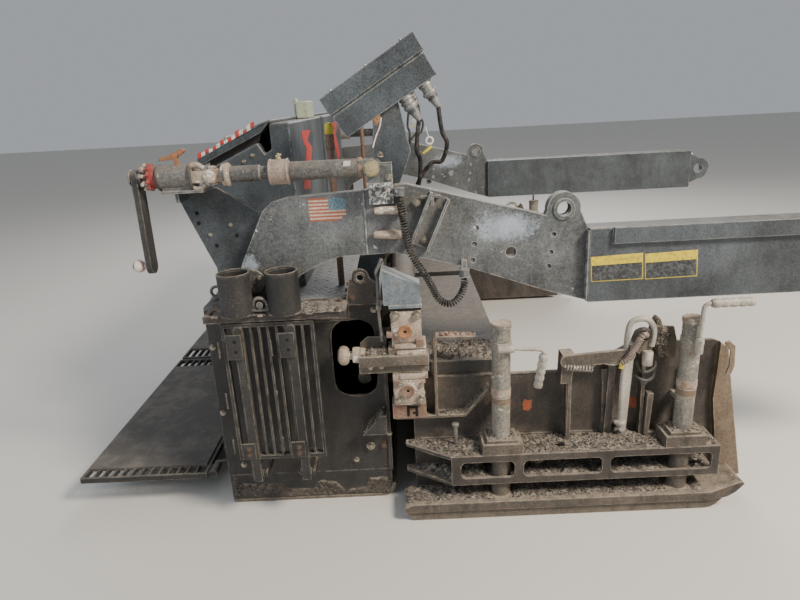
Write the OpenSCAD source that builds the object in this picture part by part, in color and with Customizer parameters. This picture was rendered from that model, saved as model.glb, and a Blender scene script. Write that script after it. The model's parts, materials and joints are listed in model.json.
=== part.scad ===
// Floating screed of an asphalt paver, with two sliding extensions,
// end gates, tow arms and folding walkways.
// +X is the direction of travel, +Z is up and Y = 0 is the middle of the machine.
// Every side piece is drawn for the left (+Y) and mirrored for the right.

/* [Main screed] */
// Paving width of the main screed
screed_w = 2440; // [2200:10:2800]
// Fore-and-aft depth of the main screed
main_depth = 680; // [640:5:720]
// Front edge of the main screed, from the cross datum
main_front = -85; // [-95:1:-80]
// Thickness of the wear plates
plate_t = 14; // [10:1:18]
// Radius of the upturned nose of the wear plates
nose_r = 60; // [40:1:80]
// Height of the plate carriers above the wear plates
carrier_h = 118; // [100:1:126]
// Height of the deck above the ground
deck_z = 860; // [850:1:870]
// Thickness of the frame walls
wall_t = 10; // [6:1:14]
// Thickness of the end plates
end_t = 12; // [8:1:16]
// Gap between the left and right halves of the screed
half_gap = 6; // [4:1:12]

/* [Side shelf] */
// How far the side shelf stands out from the end plate
shelf_out = 140; // [130:1:145]
// Thickness of the shelf plate
shelf_t = 8; // [6:1:12]
// Outer diameter of the tool cups
cup_d = 114; // [100:1:118]
// Wall of the tool cups
cup_wall = 7; // [4:1:12]
// Height of the tool cups
cup_h = 150; // [120:1:170]

/* [Extension] */
// Fore-and-aft depth of the extension plate
ext_depth = 355; // [300:5:420]
// Radius of the slide tubes
tube_r = 38; // [30:1:42]
// Radial running gap of the slide tubes in their guides
tube_gap = 0.6; // [0.4:0.1:1]
// Wall of the guides of the slide tubes
guide_wall = 17; // [12:1:18]
// Width of the slide bracket across the machine
bracket_w = 80; // [70:1:90]
// Thickness of the flat bar of the strap bracket
strap_t = 12; // [8:1:14]

/* [End gate] */
// Length of the end gate
gate_len = 1190; // [1160:5:1220]
// Thickness of the gate plate
gate_t = 12; // [8:1:14]
// Height of the slotted channel
channel_h = 124; // [110:1:140]
// How far the channel stands out from the gate plate
channel_out = 143; // [135:1:150]
// Thickness of the web and the flanges of the channel
channel_t = 11; // [8:1:14]
// Outer radius of the jack tubes
jack_r = 34; // [32:1:36]
// Radius of the jack rods
rod_r = 24; // [18:1:25]
// Radial gap of the rods in the jack tubes
rod_gap = 0.5; // [0.3:0.1:1]
// Radius of the sleeves on the ski
sleeve_r = 36; // [33:1:38]
// Radial gap of the sleeves in the channel and the saddles
sleeve_gap = 2; // [1.5:0.5:4]
// Length of the ski
ski_len = 1294; // [1260:2:1320]
// Width of the ski
ski_w = 128; // [110:1:130]

/* [Tow arm] */
// Thickness of the arm plate
arm_t = 40; // [30:1:44]
// Height of the front beam of the arm
beam_h = 266; // [240:1:280]
// Width of the front beam of the arm
beam_w = 100; // [80:1:104]
// Length of the front beam of the arm
beam_len = 1500; // [1200:10:1700]
// Radius of the pivot pin of the arm
pivot_r = 30; // [24:1:34]
// Radial gap of the pivot pin in the arm
pivot_gap = 0.5; // [0.3:0.1:1]
// Thickness of the tow eye
tow_t = 60; // [40:2:80]
// Radius of the bore in the tow eye
tow_bore_r = 32; // [25:1:38]
// Radius of the lift eye bore
lift_bore_r = 26; // [20:1:30]

/* [Depth screw] */
// Height of the screw axis above the ground
screw_z = 1350; // [1340:1:1360]
// Radius of the screw
screw_r = 22; // [16:1:24]
// Outer radius of the nut tube
nut_r = 31; // [29:1:34]
// Outer radius of the bearing housing and of the collar
collar_r = 41; // [38:1:44]
// Length of the crank of the screw
crank_len = 300; // [240:5:320]

/* [Walkway and step] */
// Fore-and-aft depth of the walkway
walk_depth = 545; // [480:5:560]
// Thickness of the walkway frame
walk_t = 24; // [18:1:28]
// Width of the folding end step
step_w = 330; // [300:2:340]
// Height of the folding end step
step_h = 548; // [520:1:549]

/* [Controls] */
// Length of the control box
box_len = 376; // [320:2:400]
// Depth of the control box across the machine
box_w = 110; // [90:1:130]
// Tilt of the control box
box_tilt = 31; // [20:1:36]

/* [Hidden] */
$fn = 48;

// Main screed
half_w = screed_w / 2;
main_rear = main_front - main_depth;
carrier_top = plate_t + carrier_h;
frame_front = main_front - 20;
frame_top = deck_z - wall_t;
inner_w = half_w - end_t;

// Side shelf
shelf_rear = main_rear + 42;
shelf_front = main_front - 135;
shelf_y = half_w + shelf_out;
shelf_top = deck_z + 10;
shelf_lip = 18;
cup_r = cup_d / 2;
cup_y = shelf_y - 20;
cup_x = [shelf_rear + 123, shelf_rear + 290];

// Extension
tube_x = -16;
tube_z = [533, 768];
guide_r = tube_r + tube_gap + guide_wall;
ext_rear = tube_x + guide_r + 6;
ext_front = ext_rear + ext_depth;
gate_y = half_w + 8;
ext_inner = 45;
ext_top = 600;
bracket_y = gate_y + gate_t;
bracket_top = 1000;

// End gate
gate_low = 24;
gate_top = [545, 645];
channel_z = 150;
channel_y = bracket_y + channel_out;
channel_rear = 133;
channel_front = gate_len - 49;
jack_x = [328, gate_len - 178];
jack_y = bracket_y + channel_out - 52;
jack_top = [784, 770];
saddle_h = 58;
saddle_z = channel_z + channel_h;
ski_top = 80;
wear_h = 42;
ski_rear = -50;
ski_y = jack_y + 66 - ski_w;
sleeve_top = channel_z + channel_h - 20;
rod_top = 600;

// Tow arm
pivot = [-550, 970];
arm_y = half_w + 12;
arm_out = arm_y + arm_t;
beam_rear = 640;
beam_z = 837;
beam_front = beam_rear + beam_len;
beam_y = arm_out + 30 - beam_w;
lift_eye = [554, 1172];
lift_r = 58;
tow_eye = [beam_front + 70, beam_z + beam_h / 2];
tow_r = 78;

// Points of the curly cord on the arm, [x, distance from the arm's outer face, z]
cord_r = 14;
cord_route = [
    [-12, 24, 1250], [-12, 24, 1238], [-9, 34, 1220], [-5, 52, 1190], [0, 62, 1155], [6, 64, 1110],
    [20, 64, 1055], [44, 64, 1010], [70, 62, 966], [90, 60, 925], [108, 58, 888],
    [136, 54, 866], [164, 46, 868], [188, 34, 890], [202, 22, 918], [204, 18, 940], [204, 18, 952]
];
cord_points = [for (p = cord_route) p + [0, arm_out, 0]];

// Depth screw
screw_y = arm_out + 32;
joint_x = -630;
joint_pin_r = 11;
nut_pin_x = -98;
nut_pin_r = 18;
housing_x = [-808, -690];
upright_t = 18;
upright_y = half_w - upright_t;

// Walkway and step
hinge_x = main_rear - 70;
hinge_z = 135;
hinge_r = 10;
hinge_ys = [90, half_w / 2 - 10, half_w - 90];
hinge_lug_t = 14;
walk_front = hinge_x - 24;
walk_rear = walk_front - walk_depth + 20;
step_x = [shelf_rear + 57, shelf_rear + 57 + step_w];
step_y = shelf_y - 28;
step_z = shelf_top - shelf_t - shelf_lip - 6 - step_h;
step_hinge = [step_y - 3, 208];
leg_x = [step_x[0] + 62, step_x[1] - 82];
leg_w = 32;
step_pin_r = 8.5;

// Whole object, to set its middle over the origin
rear_end = min(walk_rear, joint_x - 330);
front_end = tow_eye[0] + tow_r;
mid_x = (rear_end + front_end) / 2;

// Moves the cross datum so that the middle of the object is over the origin
module placed(side = "left") {
    translate([-mid_x, 0, 0])
        mirror([0, side == "right" ? 1 : 0, 0])
            children();
}

// Both sides of the root body in one node
module both_sides() {
    children();
    mirror([0, 1, 0]) children();
}

// A plate with its outline in X and Z, from y0 outwards
module plate_xz(y0, t) {
    translate([0, y0 + t, 0])
        rotate([90, 0, 0])
            linear_extrude(t)
                children();
}

// A plate with its outline in Y and Z, from x0 forwards
module plate_yz(x0, t) {
    translate([x0, 0, 0])
        rotate([90, 0, 90])
            linear_extrude(t)
                children();
}

// A box between two corners
module block(low, high) {
    translate(low)
        cube([high[0] - low[0], high[1] - low[1], high[2] - low[2]]);
}

// A rod along Y, from y0 outwards
module rod_y(x, z, y0, length, r) {
    translate([x, y0 + length, z])
        rotate([90, 0, 0])
            cylinder(r = r, h = length);
}

// A rod along X, from x0 forwards
module rod_x(y, z, x0, length, r) {
    translate([x0, y, z])
        rotate([0, 90, 0])
            cylinder(r = r, h = length);
}

// A rectangle with four round corners, between two corners
module round_box(low, high, r) {
    translate([low[0] + r, low[1]])
        square([high[0] - low[0] - 2 * r, high[1] - low[1]]);
    translate([low[0], low[1] + r])
        square([high[0] - low[0], high[1] - low[1] - 2 * r]);
    for (x = [low[0] + r, high[0] - r])
        for (z = [low[1] + r, high[1] - r])
            translate([x, z])
                circle(r);
}

// A flat bar with round ends between two points
module bar_2d(a, b, r) {
    length = norm(b - a);
    translate(a)
        rotate(atan2(b[1] - a[1], b[0] - a[0])) {
            translate([0, -r]) square([length, 2 * r]);
            circle(r);
            translate([length, 0]) circle(r);
        }
}

// Points of an arc round a centre, from one angle to another
function arc(centre, r, from, to, steps = 8) =
    [for (i = [0:steps]) let (a = from + (to - from) * i / steps) centre + r * [cos(a), sin(a)]];

// Outline of a wear plate with its upturned nose
module nose_plate(rear, front) {
    centre = [front - nose_r, nose_r];
    polygon(concat([[rear, plate_t], [rear, 0]], arc(centre, nose_r, 270, 360),
                   arc(centre, nose_r - plate_t, 360, 270)));
}

// Outline of the carrier that stands in a wear plate
module nose_filler(rear, front) {
    polygon(concat([[rear, plate_t], [rear, carrier_top], [front - plate_t, carrier_top]],
                   arc([front - nose_r, nose_r], nose_r - plate_t, 360, 270)));
}

module main_plates() {
    color("#3b3935") placed() both_sides()
        plate_xz(half_gap / 2, half_w - half_gap / 2)
            nose_plate(main_rear, main_front);
}

module plate_carriers() {
    color("#34322f") placed() both_sides()
        plate_xz(half_gap / 2, half_w - half_gap / 2)
            nose_filler(main_rear, main_front);
}

// Front and rear walls; the rear wall has two pressed panels a side
module frame_walls() {
    panel_w = inner_w / 2 - 60;
    color("#38393a") placed() both_sides() {
        difference() {
            block([main_rear, half_gap / 2, carrier_top], [main_rear + wall_t, inner_w, frame_top]);
            for (i = [0, 1])
                plate_yz(main_rear - 1, 4)
                    round_box([40 + i * (panel_w + 40), carrier_top + 320],
                              [40 + i * (panel_w + 40) + panel_w, frame_top - 60], 30);
        }
        block([frame_front - wall_t, half_gap / 2, carrier_top], [frame_front, inner_w, frame_top]);
    }
}

// Cross plates inside the frame, one in the middle of each half and one at its inner end
module bulkheads() {
    mid_z = (carrier_top + frame_top) / 2;
    mid_frame = (main_rear + frame_front) / 2;
    color("#2e2f30") placed() both_sides()
        for (y = [half_gap / 2, inner_w / 2])
            plate_xz(y, wall_t)
                difference() {
                    translate([main_rear + wall_t, carrier_top])
                        square([frame_front - main_rear - 2 * wall_t, frame_top - carrier_top]);
                    translate([mid_frame, mid_z])
                        circle(150);
                }
}

module deck() {
    color("#3a3c3e") placed() both_sides()
        block([main_rear, half_gap / 2, frame_top], [frame_front, half_w, deck_z]);
}

// End plates with the large oblong hole and the flat bar at the front corner
module end_plates() {
    color("#2c2d2f") placed() both_sides() {
        plate_xz(inner_w, end_t)
            difference() {
                translate([main_rear, carrier_top])
                    square([frame_front - main_rear, frame_top - carrier_top]);
                round_box([frame_front - 195, 470], [frame_front - 25, 785], 60);
            }
        block([frame_front, inner_w, carrier_top], [frame_front + 12, half_w + 10, 700]);
        plate_xz(half_w, 70)
            polygon([[frame_front - 95, 330], [frame_front, 330], [frame_front, 410], [frame_front - 20, 410]]);
        for (x = leg_x) {
            for (lug_x = [x - leg_w / 2 - 14, x + leg_w / 2 + 4])
                plate_yz(lug_x, 10)
                    union() {
                        translate([half_w - 1, step_hinge[1] - 14]) square([step_hinge[0] - half_w + 1, 28]);
                        translate(step_hinge) circle(14);
                    }
            rod_x(step_hinge[0], step_hinge[1], x - leg_w / 2 - 14, leg_w + 28, step_pin_r);
        }
    }
}

// Gussets behind the rear wall, each with a lug for the walkway hinge
module rear_gussets() {
    color("#33322f") placed() both_sides()
        for (y = hinge_ys)
            plate_xz(y, hinge_lug_t)
                difference() {
                    union() {
                        polygon([[main_rear, hinge_z - 3], [main_rear, 470], [main_rear - 32, 300],
                                 [main_rear - 34, hinge_z + 21], [hinge_x + 4, hinge_z + 15],
                                 [hinge_x, hinge_z - 17], [main_rear, hinge_z - 17]]);
                        translate([hinge_x, hinge_z]) circle(17);
                    }
                    translate([hinge_x, hinge_z]) circle(hinge_r);
                }
}

// Guides that carry the slide tubes, on saddles in front of the frame
module slide_guides() {
    saddle_half = guide_r * 0.85;
    saddle_front = tube_x - guide_r * 0.35;
    color("#3d3f41") placed() both_sides()
        difference() {
            union()
                for (z = tube_z) {
                    rod_y(tube_x, z, ext_inner - 10, half_w + 2 - ext_inner + 10, guide_r);
                    for (y = [ext_inner + 60, half_w / 2, half_w - 130])
                        block([frame_front, y, z - saddle_half], [saddle_front, y + 60, z + saddle_half]);
                }
            for (z = tube_z)
                rod_y(tube_x, z, 0, half_w + 10, tube_r + tube_gap);
        }
}

// Turnbuckle across the middle that sets the crown, on two lugs
module crown_turnbuckle() {
    lug_y = 190;
    axis_x = frame_front - 80;
    axis_z = deck_z + 62;
    color("#4a4b4a") placed() {
        rod_y(axis_x, axis_z, -lug_y, 2 * lug_y, 17);
        rod_y(axis_x, axis_z, -80, 160, 30);
        for (s = [-1, 1])
            translate([0, s * lug_y - 8, 0])
                plate_xz(0, 16) {
                    translate([axis_x, axis_z]) circle(34);
                    translate([axis_x - 34, deck_z]) square([68, axis_z - deck_z]);
                }
    }
}

// Side shelf with its turned-down lip, corner slot, side flange and bracket plate
module side_shelf() {
    color("#37383a") {
        difference() {
            block([shelf_rear, half_w, shelf_top - shelf_t], [shelf_front, shelf_y, shelf_top]);
            translate([shelf_rear + 30, half_w + 78, shelf_top - shelf_t - 1])
                linear_extrude(shelf_t + 2)
                    bar_2d([0, 0], [0, 36], 13);
        }
        block([shelf_rear, shelf_y - 8, shelf_top - shelf_t - shelf_lip],
              [shelf_front, shelf_y, shelf_top - shelf_t]);
        plate_xz(half_w, 8)
            polygon([[shelf_rear, shelf_top - shelf_t - 70], [shelf_rear, shelf_top - shelf_t],
                     [shelf_front, shelf_top - shelf_t], [shelf_front, shelf_top - shelf_t - 70]]);
        plate_xz(half_w + 14, 12)
            difference() {
                union() {
                    polygon([[shelf_front - 6, shelf_top], [shelf_front + 8, shelf_top + 78],
                             [shelf_front + 66, shelf_top + 96], [shelf_front + 108, shelf_top + 60],
                             [shelf_front + 112, shelf_top - 12], [shelf_front - 6, shelf_top - 12]]);
                    translate([shelf_front + 50, shelf_top + 84]) circle(32);
                }
                translate([shelf_front + 50, shelf_top + 84]) circle(12);
            }
        block([shelf_front, half_w, shelf_top - 20], [shelf_front + 108, half_w + 26, shelf_top - 12]);
    }
}

module tool_cups() {
    color("#2f3133")
        for (x = cup_x)
            translate([x, cup_y, shelf_top])
                difference() {
                    cylinder(r = cup_r, h = cup_h);
                    translate([0, 0, 12])
                        cylinder(r = cup_r - cup_wall, h = cup_h);
                }
}

// Upright that carries the arm pivot and the bearing of the depth screw
module upright() {
    pad_t = 9;
    top = screw_z - collar_r - pad_t - 1;
    pad_x = [housing_x[0] + 8, housing_x[1] + 30];
    head_y = arm_out + 2;
    color("#3a3b3c") {
        plate_xz(upright_y, upright_t)
            union() {
                polygon([[pad_x[0], top], [pad_x[1] + 10, top], pivot + [39, 236], pivot + [50, 90],
                         [pivot[0] + 80, deck_z], [pivot[0] - 140, deck_z], pivot + [-140, 40],
                         pivot + [-195, 180]]);
                translate(pivot) circle(80);
            }
        block([pad_x[0], upright_y, top], [pad_x[1], screw_y + 36, top + pad_t]);
        plate_xz(upright_y + upright_t, screw_y + 20 - upright_y - upright_t)
            polygon([[pad_x[0] + 40, top], [pad_x[0] + 52, top], [pad_x[0] + 52, top - 34],
                     [pad_x[0] + 40, top - 34]]);
        rod_x(screw_y, screw_z, housing_x[0], housing_x[1] - housing_x[0], collar_r);
        block([housing_x[0] + 12, screw_y - 26, top + pad_t], [housing_x[1] - 8, screw_y + 26, screw_z - 20]);
        for (s = [-1, 1])
            plate_xz(screw_y + s * 29 - 6, 12)
                bar_2d([housing_x[1] - 10, screw_z], [joint_x, screw_z], 19);
        rod_y(joint_x, screw_z, screw_y - 36, 72, joint_pin_r);
        rod_y(pivot[0], pivot[1], upright_y + upright_t, head_y - upright_y - upright_t, pivot_r);
        rod_y(pivot[0], pivot[1], head_y, 8, pivot_r + 5);
    }
}

// Crank of the depth screw with its ratchet wheel and ball knob
module depth_crank() {
    hub_x = housing_x[0] - 66;
    knob_r = 22;
    bar_t = 20;
    color("#3a2a28") {
        rod_x(screw_y, screw_z + 4, hub_x, 66, 19);
        rod_x(screw_y, screw_z + 4, housing_x[0] - 32, 26, 34);
        plate_yz(hub_x - bar_t, bar_t)
            bar_2d([screw_y, screw_z + 4], [screw_y + 8, screw_z + 4 - crank_len], 28);
        rod_x(screw_y + 8, screw_z + 4 - crank_len, hub_x - bar_t - 20, 20, 9);
        translate([hub_x - bar_t - 12 - knob_r, screw_y + 8, screw_z + 4 - crank_len])
            sphere(r = knob_r);
    }
}

cabinet_front = -410;
cabinet_top = deck_z + 640;
slope_low = [-745, cabinet_top - 160];
slope_high = [-540, cabinet_top - 68];
cabinet_y = [60, half_w - 220];

// Cabinet with its sloped rear body and the notch in front of it
module cabinet() {
    color("#45484a")
        plate_xz(cabinet_y[0], cabinet_y[1] - cabinet_y[0])
            polygon([[cabinet_front, deck_z], [cabinet_front, cabinet_top], [cabinet_front - 80, cabinet_top],
                     [cabinet_front - 80, cabinet_top - 95], [cabinet_front - 105, cabinet_top - 110],
                     slope_high, slope_low, slope_low - [0, 50], [-700, slope_low[1] - 150], [-700, deck_z]]);
}

// Sloped cover over the rear of the cabinet, on two end webs
module hood() {
    lift = 26;
    cover_t = 34;
    start = [slope_low[0] - 30, slope_low[1] + lift - 14];
    knee = [slope_high[0] + 20, slope_high[1] + lift + 8];
    finish = [cabinet_front - 80, cabinet_top];
    color("#3f4245") {
        plate_xz(cabinet_y[0], cabinet_y[1] - cabinet_y[0] + 6)
            polygon([start, knee, finish, finish + [12, 0], finish + [12, 14], [knee[0] - 6, knee[1] + cover_t],
                     [start[0], start[1] + cover_t]]);
        for (y = [cabinet_y[0] + 40, cabinet_y[1] - 60])
            plate_xz(y, 12)
                polygon([slope_low, slope_high, [knee[0] - 10, knee[1]], [start[0] + 30, start[1] + 13]]);
    }
}

// Small electrical box on top of the cabinet, with its post
module junction_box() {
    color("#9da894") placed("right") {
        block([cabinet_front - 66, 250, cabinet_top], [cabinet_front - 6, 420, cabinet_top + 78]);
        block([cabinet_front - 84, 330, cabinet_top + 14], [cabinet_front - 66, 362, cabinet_top + 92]);
    }
}

box_y = half_w - 70;
box_corner = [-187, deck_z + 580];
box_body_h = 84;
box_lid_h = 66;

// Post that leans forward from the deck to the control box
module control_post() {
    foot_x = frame_front - 110;
    head_x = [frame_front + 12, frame_front + 104];
    head_z = [for (x = head_x) box_corner[1] + (x - box_corner[0]) * tan(box_tilt) - 0.3];
    color("#3d4042") {
        plate_xz(box_y - 40, 16)
            polygon([[foot_x, deck_z], [foot_x + 95, deck_z], [frame_front + 60, deck_z + 320],
                     [frame_front + 142, box_corner[1] - 60], [head_x[1], head_z[1]], [head_x[0], head_z[0]],
                     [frame_front - 8, deck_z + 365]]);
        block([foot_x - 10, box_y - 100, deck_z], [foot_x + 105, box_y + 20, deck_z + 12]);
    }
}

// Tilted control box: body, gasket groove and lid
module control_box() {
    color("#4c5052")
        translate([box_corner[0], 0, box_corner[1]])
            rotate([0, -box_tilt, 0]) {
                block([0, box_y - box_w, 0], [box_len, box_y, box_body_h]);
                block([6, box_y - box_w + 6, box_body_h], [box_len - 6, box_y - 6, box_body_h + 8]);
                block([-6, box_y - box_w - 6, box_body_h + 8], [box_len + 6, box_y + 6, box_body_h + 8 + box_lid_h]);
                for (x = [box_len - 130, box_len - 50])
                    translate([x, box_y - 26, -62])
                        cylinder(r = 19, h = 62);
            }
}

module slide_tubes() {
    color("#b9bcbd")
        for (z = tube_z)
            rod_y(tube_x, z, ext_inner + 15, bracket_y - ext_inner - 15, tube_r);
}

// Slide bracket: a stack of blocks on the ends of the slide tubes, with its flange bar and knob
// [x0, x1, z0, z1, narrower]
bracket_foot = 404;
neck_top = 866;
bracket_blocks = [
    [-78, 50, bracket_foot, 470, 16], [-70, 44, 470, 600, 0], [-193, 66, 600, 636, 10],
    [-80, 54, 636, 700, 0], [-66, 44, 700, neck_top, 8]
];
module slide_bracket() {
    knob_z = 668;
    color("#8c8273") {
        for (b = bracket_blocks)
            block([b[0], bracket_y, b[2]], [b[1], bracket_y + bracket_w - b[4], b[3]]);
        plate_xz(bracket_y, bracket_w)
            polygon([[-88, neck_top], [-90, bracket_top], [44, bracket_top - 64], [44, neck_top]]);
        for (z = tube_z)
            rod_y(tube_x, z, bracket_y + bracket_w - 8, 16, 21);
        rod_x(bracket_y + 45, knob_z, -236, 156, 16);
        rod_x(bracket_y + 45, knob_z, -262, 26, 24);
    }
}

// Strap bracket in front of the slide bracket: floor plate with its brace, hooked strap and shelf
module strap_bracket() {
    strap_w = 50;
    strap_x = [84, 84 + strap_t];
    floor_top = bracket_foot - 0.3;
    floor_low = floor_top - strap_t;
    shelf_x = 245;
    shelf_z = 727;
    brace_foot = [200, floor_low];
    brace_head = [297, 502];
    color("#4d463f")
        plate_xz(bracket_y, strap_w)
            polygon([[-68, floor_top], [strap_x[0], floor_top], [strap_x[0], shelf_z - strap_t],
                     [strap_x[0] + strap_t, shelf_z], [shelf_x, shelf_z - 6], [shelf_x, shelf_z - 6 - strap_t],
                     [strap_x[1] + 6, shelf_z - strap_t], [strap_x[1], shelf_z - 2 * strap_t],
                     [strap_x[1], floor_top], [brace_foot[0] - 4, floor_top], brace_head + [-9, 8], brace_head,
                     brace_foot, [-68, floor_low]]);
}

// Extension: its wear plate, carrier and the box behind a curved mouldboard
module extension_box() {
    color("#35373a") {
        plate_xz(ext_inner, gate_y - ext_inner)
            nose_plate(ext_rear, ext_front);
        plate_xz(ext_inner, gate_y - ext_inner)
            nose_filler(ext_rear, ext_front);
        plate_xz(ext_inner, gate_y - ext_inner)
            difference() {
                translate([ext_rear, carrier_top])
                    square([ext_depth - 40, ext_top - carrier_top]);
                translate([ext_front + 150, carrier_top + 250])
                    circle(270);
            }
    }
}

// Gate ribs on the outer face: [x at the foot, x at the head, head height, width]
gate_ribs = [
    [588, 582, gate_top[0], 12], [735, 741, gate_top[1] - 45, 28], [872, 866, gate_top[1] - 5, 14],
    [gate_len - 154, gate_len - 150, gate_top[1] - 45, 34]
];
rib_out = 38;

// Gate plate with its front post and ribs
module end_gate() {
    step_at = 640;
    color("#4b4640") {
        plate_xz(gate_y, gate_t)
            difference() {
                union() {
                    polygon([[0, gate_low], [0, gate_top[0]], [step_at, gate_top[0]],
                             [step_at + 190, gate_top[1]], [gate_len - 60, gate_top[1]],
                             [gate_len, gate_top[1] - 60], [gate_len, gate_low]]);
                    translate([gate_len - 60, gate_top[1] - 60]) circle(60);
                }
                for (z = tube_z)
                    translate([tube_x, z]) circle(tube_r + 2);
            }
        plate_xz(bracket_y, 22)
            polygon([[gate_len - 30, gate_top[1] - 5], [gate_len, gate_top[1] - 30],
                     [gate_len + 108, 60], [gate_len + 16, 60], [gate_len - 34, 400]]);
        for (r = gate_ribs)
            plate_xz(bracket_y, rib_out)
                polygon([[r[0], channel_z + channel_h], [r[0] + r[3], channel_z + channel_h],
                         [r[1] + r[3], r[2] - 30], [r[1], r[2] - 30]]);
    }
}

// Slots in the channel web: [rear end, front end]
web_slots = [[channel_rear + 37, 372], [407, 702], [734, channel_front - 29]];

// Plan of a channel flange, tapered at the rear
module flange_plan() {
    polygon([[ski_rear + 15, bracket_y], [ski_rear + 15, bracket_y + 30], [channel_rear, channel_y],
             [channel_front, channel_y], [channel_front, bracket_y]]);
}

module gate_channel() {
    top = channel_z + channel_h;
    color("#55504a")
        difference() {
            union() {
                for (z = [channel_z, top - channel_t])
                    translate([0, 0, z])
                        linear_extrude(channel_t)
                            flange_plan();
                plate_xz(channel_y - channel_t, channel_t)
                    difference() {
                        translate([channel_rear, channel_z])
                            square([channel_front - channel_rear, channel_h]);
                        for (s = web_slots)
                            round_box([s[0], top - 96], [s[1], top - 28], 20);
                    }
            }
            for (x = jack_x)
                translate([x, jack_y, channel_z - 1])
                    cylinder(r = sleeve_r + sleeve_gap, h = channel_h + 2);
            for (x = [470, 556, 628, 760])
                translate([x, channel_y - 62, top - channel_t - 1])
                    cylinder(r = x == 556 ? 20 : 11, h = channel_t + 2);
        }
}

// Jack tubes on their saddles
module jack_tubes() {
    color("#8a8378")
        for (i = [0, 1])
            translate([jack_x[i], jack_y, saddle_z])
                difference() {
                    union() {
                        translate([-76, -50, 0]) cube([152, 100, saddle_h - 14]);
                        translate([-58, -44, saddle_h - 14]) cube([116, 88, 14]);
                        cylinder(r = jack_r, h = jack_top[i] - saddle_z);
                        translate([0, 0, jack_top[i] - saddle_z - 14]) cylinder(r = jack_r + 3, h = 14);
                        translate([0, 0, 232]) cylinder(r = jack_r + 2, h = 26);
                        translate([0, -jack_y + bracket_y, 150])
                            translate([-16, 0, 0]) cube([32, jack_y - bracket_y, 20]);
                    }
                    translate([0, 0, -1]) cylinder(r = sleeve_r + sleeve_gap, h = saddle_h - 10);
                    translate([0, 0, -1]) cylinder(r = rod_r + rod_gap, h = rod_top + 70 - saddle_z);
                }
}

// Jack cranks: one with its grip hanging down, one with its grip level
module jack_cranks() {
    face = jack_y + jack_r + 0.3;
    hub_len = 20;
    bar_t = 10;
    grip_r = 17;
    hub = [[jack_x[0], 704], [jack_x[1], 690]];
    tip = [[474, 686], [jack_x[1] + 16, 834]];
    color("#c9c8c2") {
        for (i = [0, 1]) {
            rod_y(hub[i][0], hub[i][1], face, hub_len, 15);
            plate_xz(face + hub_len - bar_t, bar_t)
                bar_2d(hub[i], tip[i], 8);
        }
        translate([tip[0][0], face + hub_len - bar_t / 2, tip[0][1] - 140])
            cylinder(r = grip_r, h = 140);
        rod_x(face + hub_len - bar_t / 2, tip[1][1] + 2, tip[1][0], 164, grip_r);
    }
}

// Lock lever of the gate with its post, its cross bar and the lug beside it
module lock_lever() {
    foot = [800, saddle_z + 40];
    head = [812, gate_top[1] + 5];
    bar_z = [gate_top[1] - 33, gate_top[1] - 19];
    post_low = gate_top[0] - 28;
    post_out = 60;
    lever_t = 16;
    color("#a49a8a") {
        rod_y(foot[0], foot[1], bracket_y, post_out - 2, 11);
        plate_xz(bracket_y + post_out - lever_t, lever_t)
            bar_2d(foot, head, 13);
        plate_xz(bracket_y + post_out - 2, 14)
            bar_2d([574, bar_z[0]], [head[0] - 12, bar_z[1]], 24);
        plate_xz(bracket_y, post_out)
            polygon([[556, post_low], [597, post_low], [606, bar_z[0] + 22], [560, bar_z[0] + 22]]);
        plate_xz(bracket_y, post_out)
            bar_2d([858, gate_top[1] + 5], [866, gate_top[1] + 31], 30);
    }
}

// Ski with its wear bar, upturned nose, sleeves and rods
module ski() {
    ski_front = ski_rear + ski_len;
    tip_z = 122;
    color("#4a443c") {
        plate_xz(ski_y + 12, ski_w - 24)
            polygon([[ski_rear + 30, 0], [ski_rear, wear_h], [ski_front - 60, wear_h + 14],
                     [ski_front - 100, 12], [ski_front - 140, 0]]);
        plate_xz(ski_y, ski_w)
            polygon([[ski_rear, wear_h], [ski_rear, ski_top - 12], [ski_rear + 30, ski_top],
                     [ski_front - 130, ski_top], [ski_front - 14, tip_z], [ski_front, tip_z - 12],
                     [ski_front - 30, 76], [ski_front - 60, wear_h + 14], [ski_front - 120, wear_h]]);
        for (x = jack_x)
            translate([x, jack_y, ski_top]) {
                cylinder(r = sleeve_r, h = sleeve_top - ski_top);
                cylinder(r = rod_r, h = rod_top - ski_top);
            }
    }
}

// Outlines of the two plates of the arm, which meet at a weld seam, from the rear round the top
weld_x = -135;
weld_gap = 0.3;
rear_outline = [
    pivot + [-71, -32], pivot + [-28, 70], pivot + [61, 244], pivot + [96, 276], pivot + [146, 288],
    [weld_x, 1271], [weld_x, 1044], [-233, 1042], [-298, 1023], [-381, 980], [-424, 918],
    pivot + [40, -62], pivot + [-30, -60]
];
front_outline = [
    [weld_x + weld_gap, 1271], [9, 1286], [lift_eye[0] - 64, 1153], lift_eye + [-50, 14], lift_eye + [50, 10],
    [beam_rear, beam_z + beam_h - 4], [beam_rear, beam_z], [496, 880], [191, 989], [-38, 1046],
    [weld_x + weld_gap, 1044]
];

// Holes in the arm plate: [x, z, radius]
arm_holes = [[372, 1028, 19], [251, 1120, 9], [243, 1063, 9], [236, 1005, 9], [521, 1083, 9],
             [513, 1020, 9], [506, 969, 9]];

module tow_arm() {
    color("#3b3e40")
        difference() {
            union() {
                plate_xz(arm_y, arm_t) {
                    polygon(rear_outline);
                    polygon(front_outline);
                }
                rod_y(lift_eye[0], lift_eye[1], arm_y, arm_t, lift_r);
            }
            rod_y(lift_eye[0], lift_eye[1], arm_y - 1, arm_t + 2, lift_bore_r);
            rod_y(pivot[0], pivot[1], arm_y - 1, arm_t + 2, pivot_r + pivot_gap);
            for (h = arm_holes)
                rod_y(h[0], h[1], arm_y - 1, arm_t + 2, h[2]);
        }
}

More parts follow.
